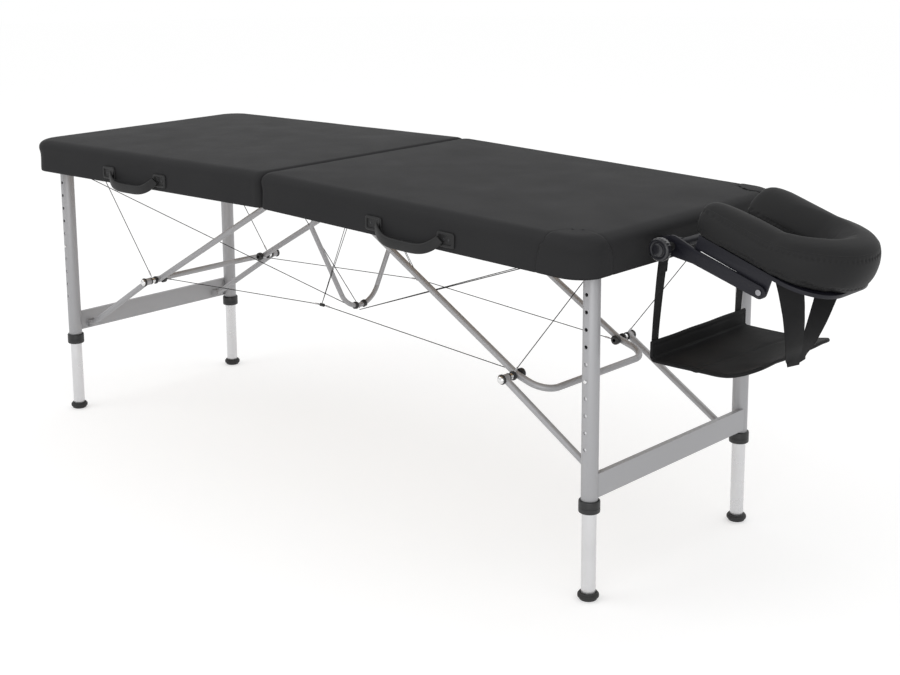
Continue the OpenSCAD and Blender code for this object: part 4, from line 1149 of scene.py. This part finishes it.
@dataclass
class ArmShelf:
    """The soft tray: a padded floor with one upright wall, a curled free edge and a bound rim."""

    start: float = 0.955
    height: float = 0.486
    length: float = 0.225
    width: float = 0.340
    thick: float = 0.007
    wall: float = 0.042
    bend: float = 0.008
    curl: float = 0.019
    curl_run: float = 0.080
    corner: float = 0.048
    rim_r: float = 0.0045
    groove: float = 0.0013
    rows: int = 72
    cols: int = 80
    inside: float = 0.93

    def profile(self, t: float) -> tuple[float, float, float, float]:
        """The middle of the tray at a share of its length: X, Z and the normal's X and Z."""
        s, half = t * (self.wall + self.length), self.thick / 2
        if s < self.wall - self.bend:
            return half, self.wall - s, 1.0, 0.0
        if s < self.wall + self.bend:
            a = (s - self.wall + self.bend) / (2 * self.bend) * pi / 2
            return half + self.bend * (1 - cos(a)), half + self.bend * (1 - sin(a)), cos(a), sin(a)
        x = s - self.wall + half
        over = max(0.0, x - (self.length - self.curl_run)) / self.curl_run
        slope = 2 * self.curl * over / self.curl_run
        size = hypot(1.0, slope)
        return x, half + self.curl * over ** 2, -slope / size, 1.0 / size

    def point(self, t: float, v: float, face: float) -> Vector:
        """A point of the tray: t along it, v across it from -1 to 1, face from -1 below to 1 above."""
        x, z, nx, nz = self.profile(t)
        left = self.length - x
        half, run = self.width / 2, self.wall + self.length
        if left < self.corner:
            half -= self.corner - sqrt(max(0.0, self.corner ** 2 - (self.corner - max(left, 0.0)) ** 2))
        rim = min((1 - abs(v)) * half, t * run, (1 - t) * run)
        bulk = self.thick / 2 * sqrt(max(0.0, 1 - (1 - min(1.0, rim / self.rim_r)) ** 2))
        groove = exp(-(((rim - 0.0095) / 0.0016) ** 2)) * self.groove
        fluff = noise.noise(Vector((x * 11, v * 2.1, 3.0))) * 0.0024 * min(1.0, rim / 0.03)
        fold = -exp(-(((x - 0.118 - 0.012 * v) / 0.0035) ** 2)) * 0.0022 if t > 0.25 else 0.0
        ripple = sin(v * 9 + x * 30) * 0.0007 * exp(-rim / 0.05)
        off = face * (bulk - groove) + (fluff + fold + ripple)
        return Vector((self.start + x + nx * off, v * half, self.height + z + nz * off))

    def build(self) -> None:
        """Makes the tray and the stitches inside its rim."""
        r, c = self.rows, self.cols
        spread = [0.5 - 0.5 * cos(pi * (0.04 + 0.92 * i / (r - 1))) for i in range(r)]
        ts = [(s - spread[0]) / (spread[-1] - spread[0]) for s in spread]
        vs = [-cos(pi * j / (c - 1)) * 0.35 + (-1 + 2 * j / (c - 1)) * 0.65 for j in range(c)]
        verts = [self.point(t, v, face) for face in (1, -1) for t in ts for v in vs]
        faces = grid_faces(r, c, wrap=False)
        faces += [tuple(reversed([i + r * c for i in f])) for f in faces]
        rim = [*range(c), *(i * c + c - 1 for i in range(1, r)), *((r - 1) * c + j for j in range(c - 2, -1, -1)),
               *(i * c for i in range(r - 2, 0, -1))]
        faces += [(a, b, b + r * c, a + r * c) for a, b in zip(rim, rim[1:] + rim[:1])]
        obj = new_piece("shelf_tray", verts, faces, SHELF_VINYL, 180.0)
        with editing(obj.data) as bm:
            bmesh.ops.remove_doubles(bm, verts=bm.verts, dist=0.02 * MM)
            bmesh.ops.recalc_face_normals(bm, faces=bm.faces)
        shade(obj.data, 180.0)
        body = body_of("arm_shelf")
        dress(obj, body, SHELF_VINYL, "arm_shelf")
        lines = [[self.point(0.03 + 0.94 * i / 80, side * self.inside, 1) for i in range(81)] for side, _ in SIDES]
        lines += [[self.point(t, self.inside * (-1 + 2 * j / 80), 1) for j in range(81)] for t in (0.035, 0.965)]
        rows = [stitch_row(f"shelf_thread_{k}", laid_on(obj, line)) for k, line in enumerate(lines)]
        dress(join("shelf_threads", rows), body, THREAD)


@dataclass
class ShelfStraps:
    """The four webbing straps that hang the tray from the face rest."""

    width: float = 0.0285
    wide_width: float = 0.044
    thick: float = 0.0020
    loop_r: float = 0.0074
    wall_x: float = 0.9535
    wall_z: float = 0.486
    left_y: float = 0.1495
    low: tuple[float, float, float] = (1.1822, 0.014, 0.493)
    high: tuple[float, float, float] = (0.028, 0.085, 0.0317)
    over: float = 0.0028

    def left(self) -> None:
        """Straps that wrap the axle's ends and run down the tray's wall."""
        pieces, stitches = [], []
        x, z = self.wall_x, self.wall_z
        for side, _ in SIDES:
            y = side * self.left_y
            top, low = Vector((AXLE.x - self.loop_r, y, AXLE.z)), Vector((x, y, z + 0.046))
            points = [Vector((x, y, z + up)) for up in (0.006, 0.02, 0.040)]
            points += [low.lerp(top, k / 8) + Vector((-0.0012 * sin(pi * k / 8), 0, 0)) for k in range(1, 8)]
            points += [AXLE + Vector((self.loop_r * cos(a), y, self.loop_r * sin(a)))
                       for a in (pi - radians(15 * k) for k in range(18))]
            back, last = low.lerp(top, 0.84) + Vector((0.0024, 0, 0)), low.lerp(top, 0.72) + Vector((0.0022, 0, 0))
            points += [back.lerp(last, k / 4) for k in range(5)]
            path = smooth_path(points, 2)
            wide = [Vector((0, 1, 0))] * len(path)
            size = [0.80 + 0.20 * min(1.0, max(0.0, (p.z - z - 0.05) / 0.12)) for p in path]
            pieces.append(sweep(f"strap_l_{side}", path, band(self.width, self.thick), WEBBING, wide, size))
            for share in (0.74, 0.83):
                mid = low.lerp(top, share) + Vector((-0.0012, 0, 0))
                line = [(mid + Vector((0, 0.009 * (k / 3 - 1), 0)), Vector((-1, 0, 0))) for k in range(7)]
                stitches.append(stitch_row(f"box_{side}_{share}", line, 0.0028, 0.0002))
        body = body_of("left_straps")
        dress(join("hanging_straps", pieces), body, WEBBING, "left_straps")
        dress(join("strap_threads", stitches), body, THREAD)

    def right(self) -> None:
        """Straps in a V from the platform down to the tray's free edge, wider and turned at the top."""
        pieces = []
        high, foot = platform(*self.high), Vector(self.low)
        for side, _ in SIDES:
            top, low = Vector((high.x, side * high.y, high.z)), Vector((foot.x, side * foot.y, foot.z))
            low.x += self.over if side < 0 else 0.0
            points = [low + Vector((0.0, 0, -0.004)), low + Vector((0.0, 0, 0.012))]
            points += [low.lerp(top, k / 10) + Vector((0.006 * sin(pi * k / 10), 0, 0)) for k in range(2, 10)]
            points += [top - (top - low).normalized() * 0.004, top]
            path = smooth_path(points, 3)
            shares = [k / (len(path) - 1) for k in range(len(path))]
            wide = [Vector((0, 1, 0)).lerp(Vector((0.68, 0.73, 0)), min(1.0, 1.6 * share)) for share in shares]
            size = [1.0 + 0.22 * max(0.0, share - 0.55) / 0.45 for share in shares]
            pieces.append(sweep(f"strap_r_{side}", path, band(self.wide_width, self.thick), WEBBING, wide, size))
        straps = join("v_straps", pieces)
        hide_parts("right_straps")
        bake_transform(straps)
        LOG.info("v_straps between face_base and face_arm, %d faces", len(straps.data.polygons))


@dataclass
class SideHandle:
    """A carrying handle: two framed end plates and a thick drooping grip."""

    end: End
    middle: float = 0.474
    reach: float = 0.104
    plate: tuple[float, float, float] = (0.048, 0.032, 0.004)
    plate_h: float = 0.025
    droop: float = 0.027
    out: float = 0.016
    grip: tuple[float, float] = (0.011, 0.0034)
    # Inset from the plate's outline, height as a share of its thickness, corner radius
    rows: tuple[tuple[float, float, float], ...] = (
        (0.0, 0.0, 0.006), (0.0, 0.6, 0.006), (0.0008, 0.95, 0.0055), (0.0020, 1.08, 0.005), (0.0045, 1.1, 0.004),
        (0.0058, 0.95, 0.003), (0.0066, 0.45, 0.0025), (0.0080, 0.35, 0.002), (0.0125, 0.35, 0.001))

    def plate_piece(self, x: float, name: str) -> Obj:
        """A rounded plate with a raised rim and a sunk middle."""
        l, h, t = self.plate
        verts = []
        for inset, share, r in self.rows:
            for k, (sx, sz) in enumerate(((1, 1), (1, -1), (-1, -1), (-1, 1))):
                cx, cz = x + sx * (l / 2 - inset - r), self.plate_h + sz * (h / 2 - inset - r)
                for a in (radians(90 - k * 90 - 15 * i) for i in range(7)):
                    verts.append(world(cx + r * cos(a), -HALF_W - t * share, cz + r * sin(a), self.end.sign))
        return new_piece(name, verts, tube_faces(len(self.rows), 28), HANDLE, 38.0)

    def build(self) -> None:
        """Makes the plates, the screws in them and the grip."""
        name, sign = self.end.value, self.end.sign
        parts = [self.plate_piece(self.middle + s * self.reach, f"{name}_plate_{s}") for s, _ in SIDES]
        half = self.reach - self.plate[0] / 2 + 0.012
        path, size = [], []
        for t in (k / 24 - 1 for k in range(49)):
            fall = 1 - t ** 4
            path.append(world(self.middle + t * half, -HALF_W - 0.0069 - self.out * fall,
                              self.plate_h - self.droop * fall, sign))
            size.append(0.86 + 0.14 * min(1.0, (1 - abs(t)) * 6))
        section = [(self.grip[0] * copysign(abs(cos(a)) ** 0.6, cos(a)),
                    self.grip[1] * copysign(abs(sin(a)) ** 0.75, sin(a)))
                   for a in (tau * (k + 0.5) / 20 for k in range(20))]
        parts.append(sweep(f"{name}_grip", path, section, HANDLE, [Vector((0, 0, 1))] * len(path), size))
        dress(join(f"{name}_handle_piece", parts), self.end.panel, HANDLE, f"{name}_handle")
        spots = [(world(self.middle + s * (self.reach + d), -HALF_W - 0.0014, self.plate_h, sign),
                  Vector((1, 0, 0)), Vector((0, -1, 0))) for s, _ in SIDES for d in (-0.006, 0.008)]
        screws = Repeater.spread(f"{name}_handle_screws", ITEMS.screw, spots, KNOB, size=0.62)
        dress(screws, self.end.panel, KNOB)


@dataclass
class LegEnds:
    """Collars, rubber feet and knee fittings of one half. Outlines are along the axis and radius."""

    end: End
    leg_y: float = 0.2715
    cap_y: float = 0.160
    ring_y: float = 0.1901
    split_y: float = 0.19625
    rim_y: float = 0.2264
    collar: Pairs = (
        (0.186, 0.0158), (0.186, 0.0205), (0.1868, 0.0216), (0.1885, 0.0220), (0.1960, 0.0220), (0.1965, 0.0214),
        (0.1972, 0.0214), (0.1977, 0.0220), (0.2085, 0.0220), (0.2104, 0.0216), (0.2116, 0.0204), (0.212, 0.0190),
        (0.212, 0.0177))
    foot: Pairs = (
        (0.0, 0.0), (0.0, 0.0165), (0.0006, 0.0178), (0.002, 0.0184), (0.0045, 0.0200), (0.006, 0.0217),
        (0.0075, 0.0220), (0.0105, 0.0220), (0.012, 0.0216), (0.0128, 0.0200), (0.0140, 0.0192), (0.0155, 0.0188),
        (0.0160, 0.0180), (0.0160, 0.0156), (0.0130, 0.0154), (0.0130, 0.0))
    cap: Pairs = ((0, 0.0), (0, 0.0060), (0.0010, 0.0092), (0.0026, 0.0107), (0.0045, 0.0110), (0.0105, 0.0110),
                  (0.0118, 0.0105), (0.012, 0.0096), (0.012, 0.0))
    ring: Pairs = ((0, 0.0), (0, 0.0090), (0.0007, 0.0099), (0.0020, 0.0100), (0.0045, 0.0100), (0.0055, 0.0096),
                   (0.006, 0.0088), (0.006, 0.0))
    sleeve: Pairs = ((0, 0.0), (0, 0.0062), (0.0006, 0.0070), (0.0094, 0.0070), (0.010, 0.0062), (0.010, 0.0))
    stop: Pairs = ((0, 0.0), (0, 0.0084), (0.0006, 0.0092), (0.0026, 0.0092), (0.0032, 0.0084), (0.0032, 0.0))
    rim: Pairs = ((0, 0.0), (0, 0.0100), (0.0006, 0.0109), (0.0034, 0.0110), (0.0042, 0.0104), (0.0045, 0.0094),
                  (0.0045, 0.0))
    dome: Pairs = ((0, 0.0), (0, 0.0088), (0.0016, 0.0090), (0.0034, 0.0084), (0.0050, 0.0070), (0.0062, 0.0048),
                   (0.0068, 0.0024), (0.0070, 0.0))

    def build(self) -> None:
        """Makes all fittings of this half."""
        end, leg_x = self.end.value, self.end.sign * LEG_X
        node = f"{end}_collars"
        parts = [lathe(f"collar_{s}", (leg_x, s * self.leg_y, 0), "Z", self.collar, BLACK_PLASTIC, 48, closed=True)
                 for s, _ in SIDES]
        dress(join(f"{node}_piece", parts), body_of(node), BLACK_PLASTIC, node)
        for side, label in SIDES:
            node = f"{end}_{label}_rubber_foot"
            foot = lathe(f"{node}_piece", (leg_x, side * self.leg_y, 0), "Z", self.foot, GRIP_RUBBER, 48)
            dress(foot, body_of(node), GRIP_RUBBER, node)
        reach = self.ring_y + 0.006 - self.cap_y
        pin = ((0, 0.0), (0, 0.004), (reach, 0.004), (reach, 0.0))
        # From the inside out, in the order of the photograph; the first of each node stands for it
        for node, label, start, outline, finish in (
                ("knee_pins", "inner_cap", self.cap_y, self.cap, BLACK_PLASTIC),
                ("knee_pins", "pin", self.cap_y, pin, CHROME),
                ("knee_pins", "ring", self.ring_y, self.ring, BLACK_PLASTIC),
                ("knee_caps", "sleeve", self.split_y + 0.00015, self.sleeve, CHROME),
                ("knee_caps", "stop", self.split_y + 0.0103, self.stop, BLACK_PLASTIC),
                ("knee_caps", "rim", self.rim_y, self.rim, BLACK_PLASTIC),
                ("knee_caps", "dome", self.rim_y + 0.0045, self.dome, CHROME)):
            knee_x = self.end.sign * KNEE_X
            parts = [lathe(f"{label}_{s}", (knee_x, s * start, KNEE_H), "Y", outline, finish, 36, s)
                     for s, _ in SIDES]
            node = f"{end}_{node}"
            stands_for = (node,) if label in ("inner_cap", "sleeve") else ()
            dress(join(f"{end}_knee_{label}", parts), body_of(node), finish, *stands_for)


@dataclass
class Cables:
    """The steel cables and elastic cords under the table, with crimped ends."""

    knot_y: float = 0.166
    knot_h: float = 0.430
    short_y: float = 0.200
    knee_gap: float = 0.0118
    steel_r: float = 0.001
    cord_r: float = 0.0008
    rail_x: float = 0.815
    rail_y: float = 0.3247
    loop_low: tuple[float, float] = (-0.0447, 0.3788)
    knot: Pairs = ((-0.0068, 0.0), (-0.0068, 0.0030), (-0.006, 0.0039), (-0.002, 0.0040), (0.0, 0.0033),
                   (0.002, 0.0040), (0.006, 0.0039), (0.0068, 0.0030), (0.0068, 0.0))

    def run(self, name: str, body: str, a: Vector, b: Vector, radius: float, node: str, stiff: str,
            fold: str) -> Obj:
        """One taut cable between two points.

        Args:
            name: The piece's name.
            body: The body that carries it.
            a: Where it leaves the object.
            b: Where it goes back.
            radius: Its radius.
            node: The CAD node it stands for.
            stiff: Not used.
            fold: Not used; it is only handed on to flatten, which ignores it.

        Returns:
            The cable.
        """
        path = [a.lerp(b, k / 20) for k in range(21)]
        obj = dress(sweep(name, path, circle(radius, 10), CABLE), body, CABLE, node)
        return self.flatten(obj, fold)

    @staticmethod
    def flatten(obj: Obj, fold: str) -> Obj:
        """Gives a piece its own copy of its mesh."""
        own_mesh(obj)
        return obj

    def crimps(self, name: str, body: str, ends: Line) -> Obj:
        """Silver ferrules near cable ends; each end is its place and the way along the cable."""
        spots = [(p + d * 0.012, d, Vector((0, 1, 0))) for p, d in ends]
        return dress(Repeater.spread(name, ITEMS.ferrule, spots, ZINC), body, ZINC)

    def half(self, end: End) -> None:
        """The four cables of one half, from its knees."""
        name, node, s = end.value, f"{end.value}_cables", end.sign
        roof = world(LEG_X, 0, 0.053).z - 0.0013
        ends = []
        for side, label in SIDES:
            high = Vector((s * LEG_X, side * self.short_y, roof))
            tie = Vector((0, side * self.knot_y, self.knot_h))
            knees = [Vector((s * KNEE_X, goal.y, KNEE_H)) for goal in (high, tie)]
            low, start = (knee + (goal - knee).normalized() * self.knee_gap
                          for knee, goal in zip(knees, (high, tie)))
            stop = Vector((s * 0.007, tie.y, tie.z))
            for kind, a, b in (("short", high, low), ("long", start, stop)):
                self.run(f"{name}_{label}_{kind}_cable", body_of(node), a, b, self.steel_r, node, "medium", name)
            ends += [(a, (b - a).normalized()) for a, b in ((low, high), (start, stop), (stop, start))]
        self.flatten(self.crimps(f"{name}_ferrules", body_of(node), ends), name)

    def knots(self) -> None:
        """The clamps that tie the long cables of both halves together."""
        parts = [lathe(f"knot_{s}", (0, s * self.knot_y, self.knot_h), "X", self.knot, BLACK_PLASTIC, 28)
                 for s, _ in SIDES]
        self.flatten(dress(join("cable_knots", parts), body_of("foot_cables"), BLACK_PLASTIC), "foot")

    def braces(self) -> None:
        """The four cables from the loop's bottom to the side rails."""
        x, z = self.loop_low
        for end in End:
            ends = []
            for side, label in SIDES:
                a = Vector((x + end.sign * 0.006, side * 0.006, z))
                b = Vector((end.sign * self.rail_x, side * self.rail_y, world(self.rail_x, 0, 0.016).z))
                self.run(f"{end.value}_{label}_brace_cable", end.panel, b, a, self.steel_r, "loop_cables",
                         "medium", end.value)
                ends.append((b, (a - b).normalized()))
            self.crimps(f"{end.value}_brace_ferrules", end.panel, ends)

    def cords(self) -> None:
        """Two pairs of elastic cords from the knots up to the fold."""
        top = Vector((-0.014, 0.020, world(0.014, 0, 0).z - 0.0011))
        for side, label in SIDES:
            for s in (0, 1):
                a = Vector((-s * 0.003, side * (self.knot_y - s * 0.003), self.knot_h + 0.0043))
                b = Vector((top.x - s * 0.006, side * (top.y + s * 0.006), top.z))
                self.run(f"{label}_hinge_cord_{s}", body_of("hinge_cords"), b, a, self.cord_r, "hinge_cords",
                         "limp", "foot")

    def build(self) -> None:
        """Makes every cable and cord."""
        for end in End:
            self.half(end)
        self.knots()
        self.braces()
        self.cords()


@dataclass
class CornerPatch:
    """The sewn cap over a corner of the head half, which lies on the cover."""

    side: int
    name: str
    lift: float = 0.0013
    thick: float = 0.0012
    cols: int = 49
    # Height or inset on the cover, the seam's distance from the head end, and from the side, in mm
    seam: tuple[tuple[float, float, float, float], ...] = (
        (1.5, 0.0, 117.3, 91), (20, 0, 117.3, 91), (39, 0, 114.8, 90), (52, 0, 109, 84), (58, 0, 107.3, 78),
        (65, 0.5, 97.4, 71), (74, 3.6, 96.6, 68), (79, 10.6, 96, 67), (81, 19, 95.5, 67), (81.6, 27, 93.5, 67.5),
        (81.9, 36, 89, 70), (82.1, 46, 83, 70), (82.25, 52, 79, 68), (82.3, 54, 76, 66.5), (82.35, 55.2, 70, 65))

    def row(self, h: float, inset: float, ahead: float, aside: float) -> list[Vector]:
        """Points round the corner at one level, from the side's seam to the end's seam, in panel space."""
        r = max(CORNER_R - inset / 2, FOLD_R)
        cx, cy = HALF_LEN - inset - r, HALF_W - inset - r
        line = [Vector((HALF_LEN - ahead, HALF_W - inset, h))]
        if HALF_LEN - ahead < cx:
            line += [line[0].lerp(Vector((cx, HALF_W - inset, h)), k / 8) for k in range(1, 9)]
        line += [Vector((cx + r * sin(a), cy + r * cos(a), h)) for a in (pi / 2 * k / 16 for k in range(17))]
        line += [Vector((HALF_LEN - inset, cy + (HALF_W - aside - cy) * k / 8, h)) for k in range(1, 9)]
        line = [p for p in line if p.x >= HALF_LEN - ahead - 1e-6 and p.y >= HALF_W - aside - 1e-6]
        lengths = [0.0]
        for a, b in zip(line, line[1:]):
            lengths.append(lengths[-1] + (b - a).length)
        out = []
        for goal in (lengths[-1] * k / (self.cols - 1) for k in range(self.cols)):
            i = min(max(j for j, length in enumerate(lengths) if length <= goal + 1e-9), len(line) - 2)
            span = max(lengths[i + 1] - lengths[i], 1e-9)
            out.append(line[i].lerp(line[i + 1], (goal - lengths[i]) / span))
        return out

    def build(self, cover: Obj) -> None:
        """Makes the patch on the cover, and its stitches.

        Args:
            cover: The head half's cover.
        """
        levels, cols = [], self.cols
        for a, b in zip(self.seam, self.seam[1:]):
            levels += [[x + (y - x) * k / 5 for x, y in zip(a, b)] for k in range(5)]
        grid = [self.row(*(v * MM for v in level)) for level in (*levels, self.seam[-1])]
        rows = len(grid)
        flat = [world(p.x, self.side * p.y, p.z) for line in grid for p in line]
        verts = []
        for k, (place, normal) in enumerate(laid_on(cover, flat)):
            r, c = divmod(k, cols)
            rise = min(1.0, min(c, cols - 1 - c) / 3.0, (rows - 1 - r) / 4.0)
            verts.append(place + normal * (self.lift * sin(pi / 2 * rise) - 0.0003 * (rise < 0.01)))
        obj = new_piece(f"{self.name}_corner_patch", verts, grid_faces(rows, cols, wrap=False), VINYL, 180.0)
        solid = obj.modifiers.new("thick", "SOLIDIFY")
        solid.thickness, solid.offset = self.thick, -1.0
        dress(settle(obj, 180.0), End.HEAD.panel, VINYL)
        border = [flat[r * cols] for r in range(rows)]
        border += [flat[r * cols + cols - 1] for r in range(rows - 1, -1, -1)]
        crease(cover, laid_on(cover, border), 0.0016, 0.0026)
        shade(cover.data, 180.0)
        inner = [flat[r * cols + 4] for r in range(rows - 7)]
        inner += [flat[(rows - 7) * cols + c] for c in range(6, cols - 6)]
        inner += [flat[r * cols + cols - 5] for r in range(rows - 8, -1, -1)]
        row = stitch_row(f"{self.name}_patch_stitches", laid_on(obj, inner), 0.0045, -0.0001)
        dress(row, End.HEAD.panel, THREAD)


@dataclass
class Staples:
    """The staples that hold the cover's hem under a half's rails."""

    end: End
    pitch: float = 0.032
    inset: float = 0.012
    start: float = 0.02
    depth: float = -0.0013

    def build(self) -> None:
        """Sets staples along the hem."""
        x1, y1, down = HALF_LEN - self.inset, HALF_W - self.inset, (0, 0, -1)
        spots = [(world(self.start + self.pitch * (k + 0.5), side * y1, self.depth, self.end.sign),
                  (1, 0, 0), down)
                 for side, _ in SIDES for k in range(int((x1 - self.start - 0.07) / self.pitch))]
        spots += [(world(x1, -y1 + 0.06 + self.pitch * k, self.depth, self.end.sign), (0, 1, 0), down)
                  for k in range(int((2 * y1 - 0.1) / self.pitch))]
        staples = Repeater.spread(f"{self.end.value}_staples", ITEMS.staple, spots, ZINC, vary=0.08)
        dress(staples, self.end.panel, ZINC)


# ------------------------------------------------------------ scene


@dataclass
class Studio:
    """Camera, floor, world and lamps."""

    location: tuple[float, float, float] = (2.6823, -2.6005, 1.4005)
    yaw: float = 42.9233
    pitch: float = 11.422
    roll: float = -0.3184
    focal_px: float = 1562.88
    shift: float = -0.1472
    width_px: float = 900.0
    sensor: float = 36.0
    floor_grey: float = 0.66
    floor_glow: float = 0.44
    world_light: float = 0.84
    # Name, place, size and power of each lamp
    lamps: tuple[tuple[str, tuple[float, float, float], float, float], ...] = (
        ("key_lamp", (-1.6, -2.6, 3.6), 2.6, 26.0), ("back_lamp", (1.2, 3.0, 3.2), 2.4, 12.0),
        ("front_lamp", (3.0, -3.4, 1.1), 2.8, 42.0))

    def camera(self) -> None:
        """Sets the camera at the photograph's point of view."""
        data = bpy.data.cameras.new("photo_camera")
        data.sensor_width, data.lens = self.sensor, self.focal_px * self.sensor / self.width_px
        data.shift_y = self.shift
        turn = Matrix.Rotation(radians(self.yaw), 4, "Z") @ Matrix.Rotation(radians(90 - self.pitch), 4, "X")
        cam = link_in("photo_camera", data)
        cam.matrix_world = Matrix.Translation(self.location) @ turn @ Matrix.Rotation(radians(self.roll), 4, "Z")
        bpy.context.scene.camera = cam

    def floor(self) -> None:
        """A pale floor that keeps the shadow and shows white round it."""
        mesh = bpy.data.meshes.new("floor")
        with editing(mesh) as bm:
            bmesh.ops.create_circle(bm, cap_ends=True, radius=14.0, segments=96)
        obj = link_in("floor", mesh)
        obj.location.z = -0.5 * MM
        mat = bpy.data.materials.new("floor_paint")
        mat.use_nodes = True
        mat.node_tree.nodes.clear()
        wire(mat.node_tree, {
            "end": ("OutputMaterial",), "matt": ("BsdfDiffuse", {"Color": (*[self.floor_grey] * 3, 1)}),
            "glow": ("Emission",), "add": ("AddShader",), "path": ("LightPath",),
            "seen": ("Math", {}, {"operation": "MAXIMUM"}),
            "lift": ("Math", {1: self.floor_glow}, {"operation": "MULTIPLY"})},
            "path.Is Camera Ray>seen.0; path.Is Glossy Ray>seen.1; seen.0>lift.0; lift.0>glow.Strength; "
            "matt.0>add.0; glow.0>add.1; add.0>end.Surface")
        mesh.materials.append(mat)

    def light(self) -> None:
        """A white world seen as white, and three large soft lamps."""
        backdrop = bpy.data.worlds.new("studio")
        bpy.context.scene.world = backdrop
        backdrop.use_nodes = True
        back = backdrop.node_tree.nodes["Background"]
        back.inputs["Color"].default_value = (1, 1, 1, 1)
        wire(backdrop.node_tree, {"path": ("LightPath",),
                                  "shown": ("MapRange", {"To Min": self.world_light, "To Max": 1.0})},
             "path.Is Camera Ray>shown.Value; shown.Result>back.Strength", back=back)
        for name, place, size, power in self.lamps:
            data = bpy.data.lights.new(name, "AREA")
            data.size, data.energy = size, power
            lamp = link_in(name, data)
            lamp.location = place
            lamp.rotation_euler = (Vector((0, 0, 0.4)) - Vector(place)).to_track_quat("-Z", "Y").to_euler()
        bpy.context.scene.view_settings.view_transform = "Standard"


def main() -> None:
    """Builds every piece in order."""
    logging.basicConfig(level=logging.INFO, format="%(name)s: %(message)s")
    studio = Studio()
    studio.camera()
    studio.floor()
    studio.light()
    Cables().build()
    Metalwork().build()
    covers = {end: PanelCover(end).build() for end in End}
    for side, name in SIDES:
        CornerPatch(side, name).build(covers[End.HEAD])
    for end in End:
        for kind in (Staples, SideHandle, LegEnds):
            kind(end).build()
    FaceCushion().build()
    fittings, straps = FaceFittings(), ShelfStraps()
    fittings.knob()
    fittings.teeth()
    ArmShelf().build()
    straps.left()
    straps.right()


if __name__ == "__main__":
    main()
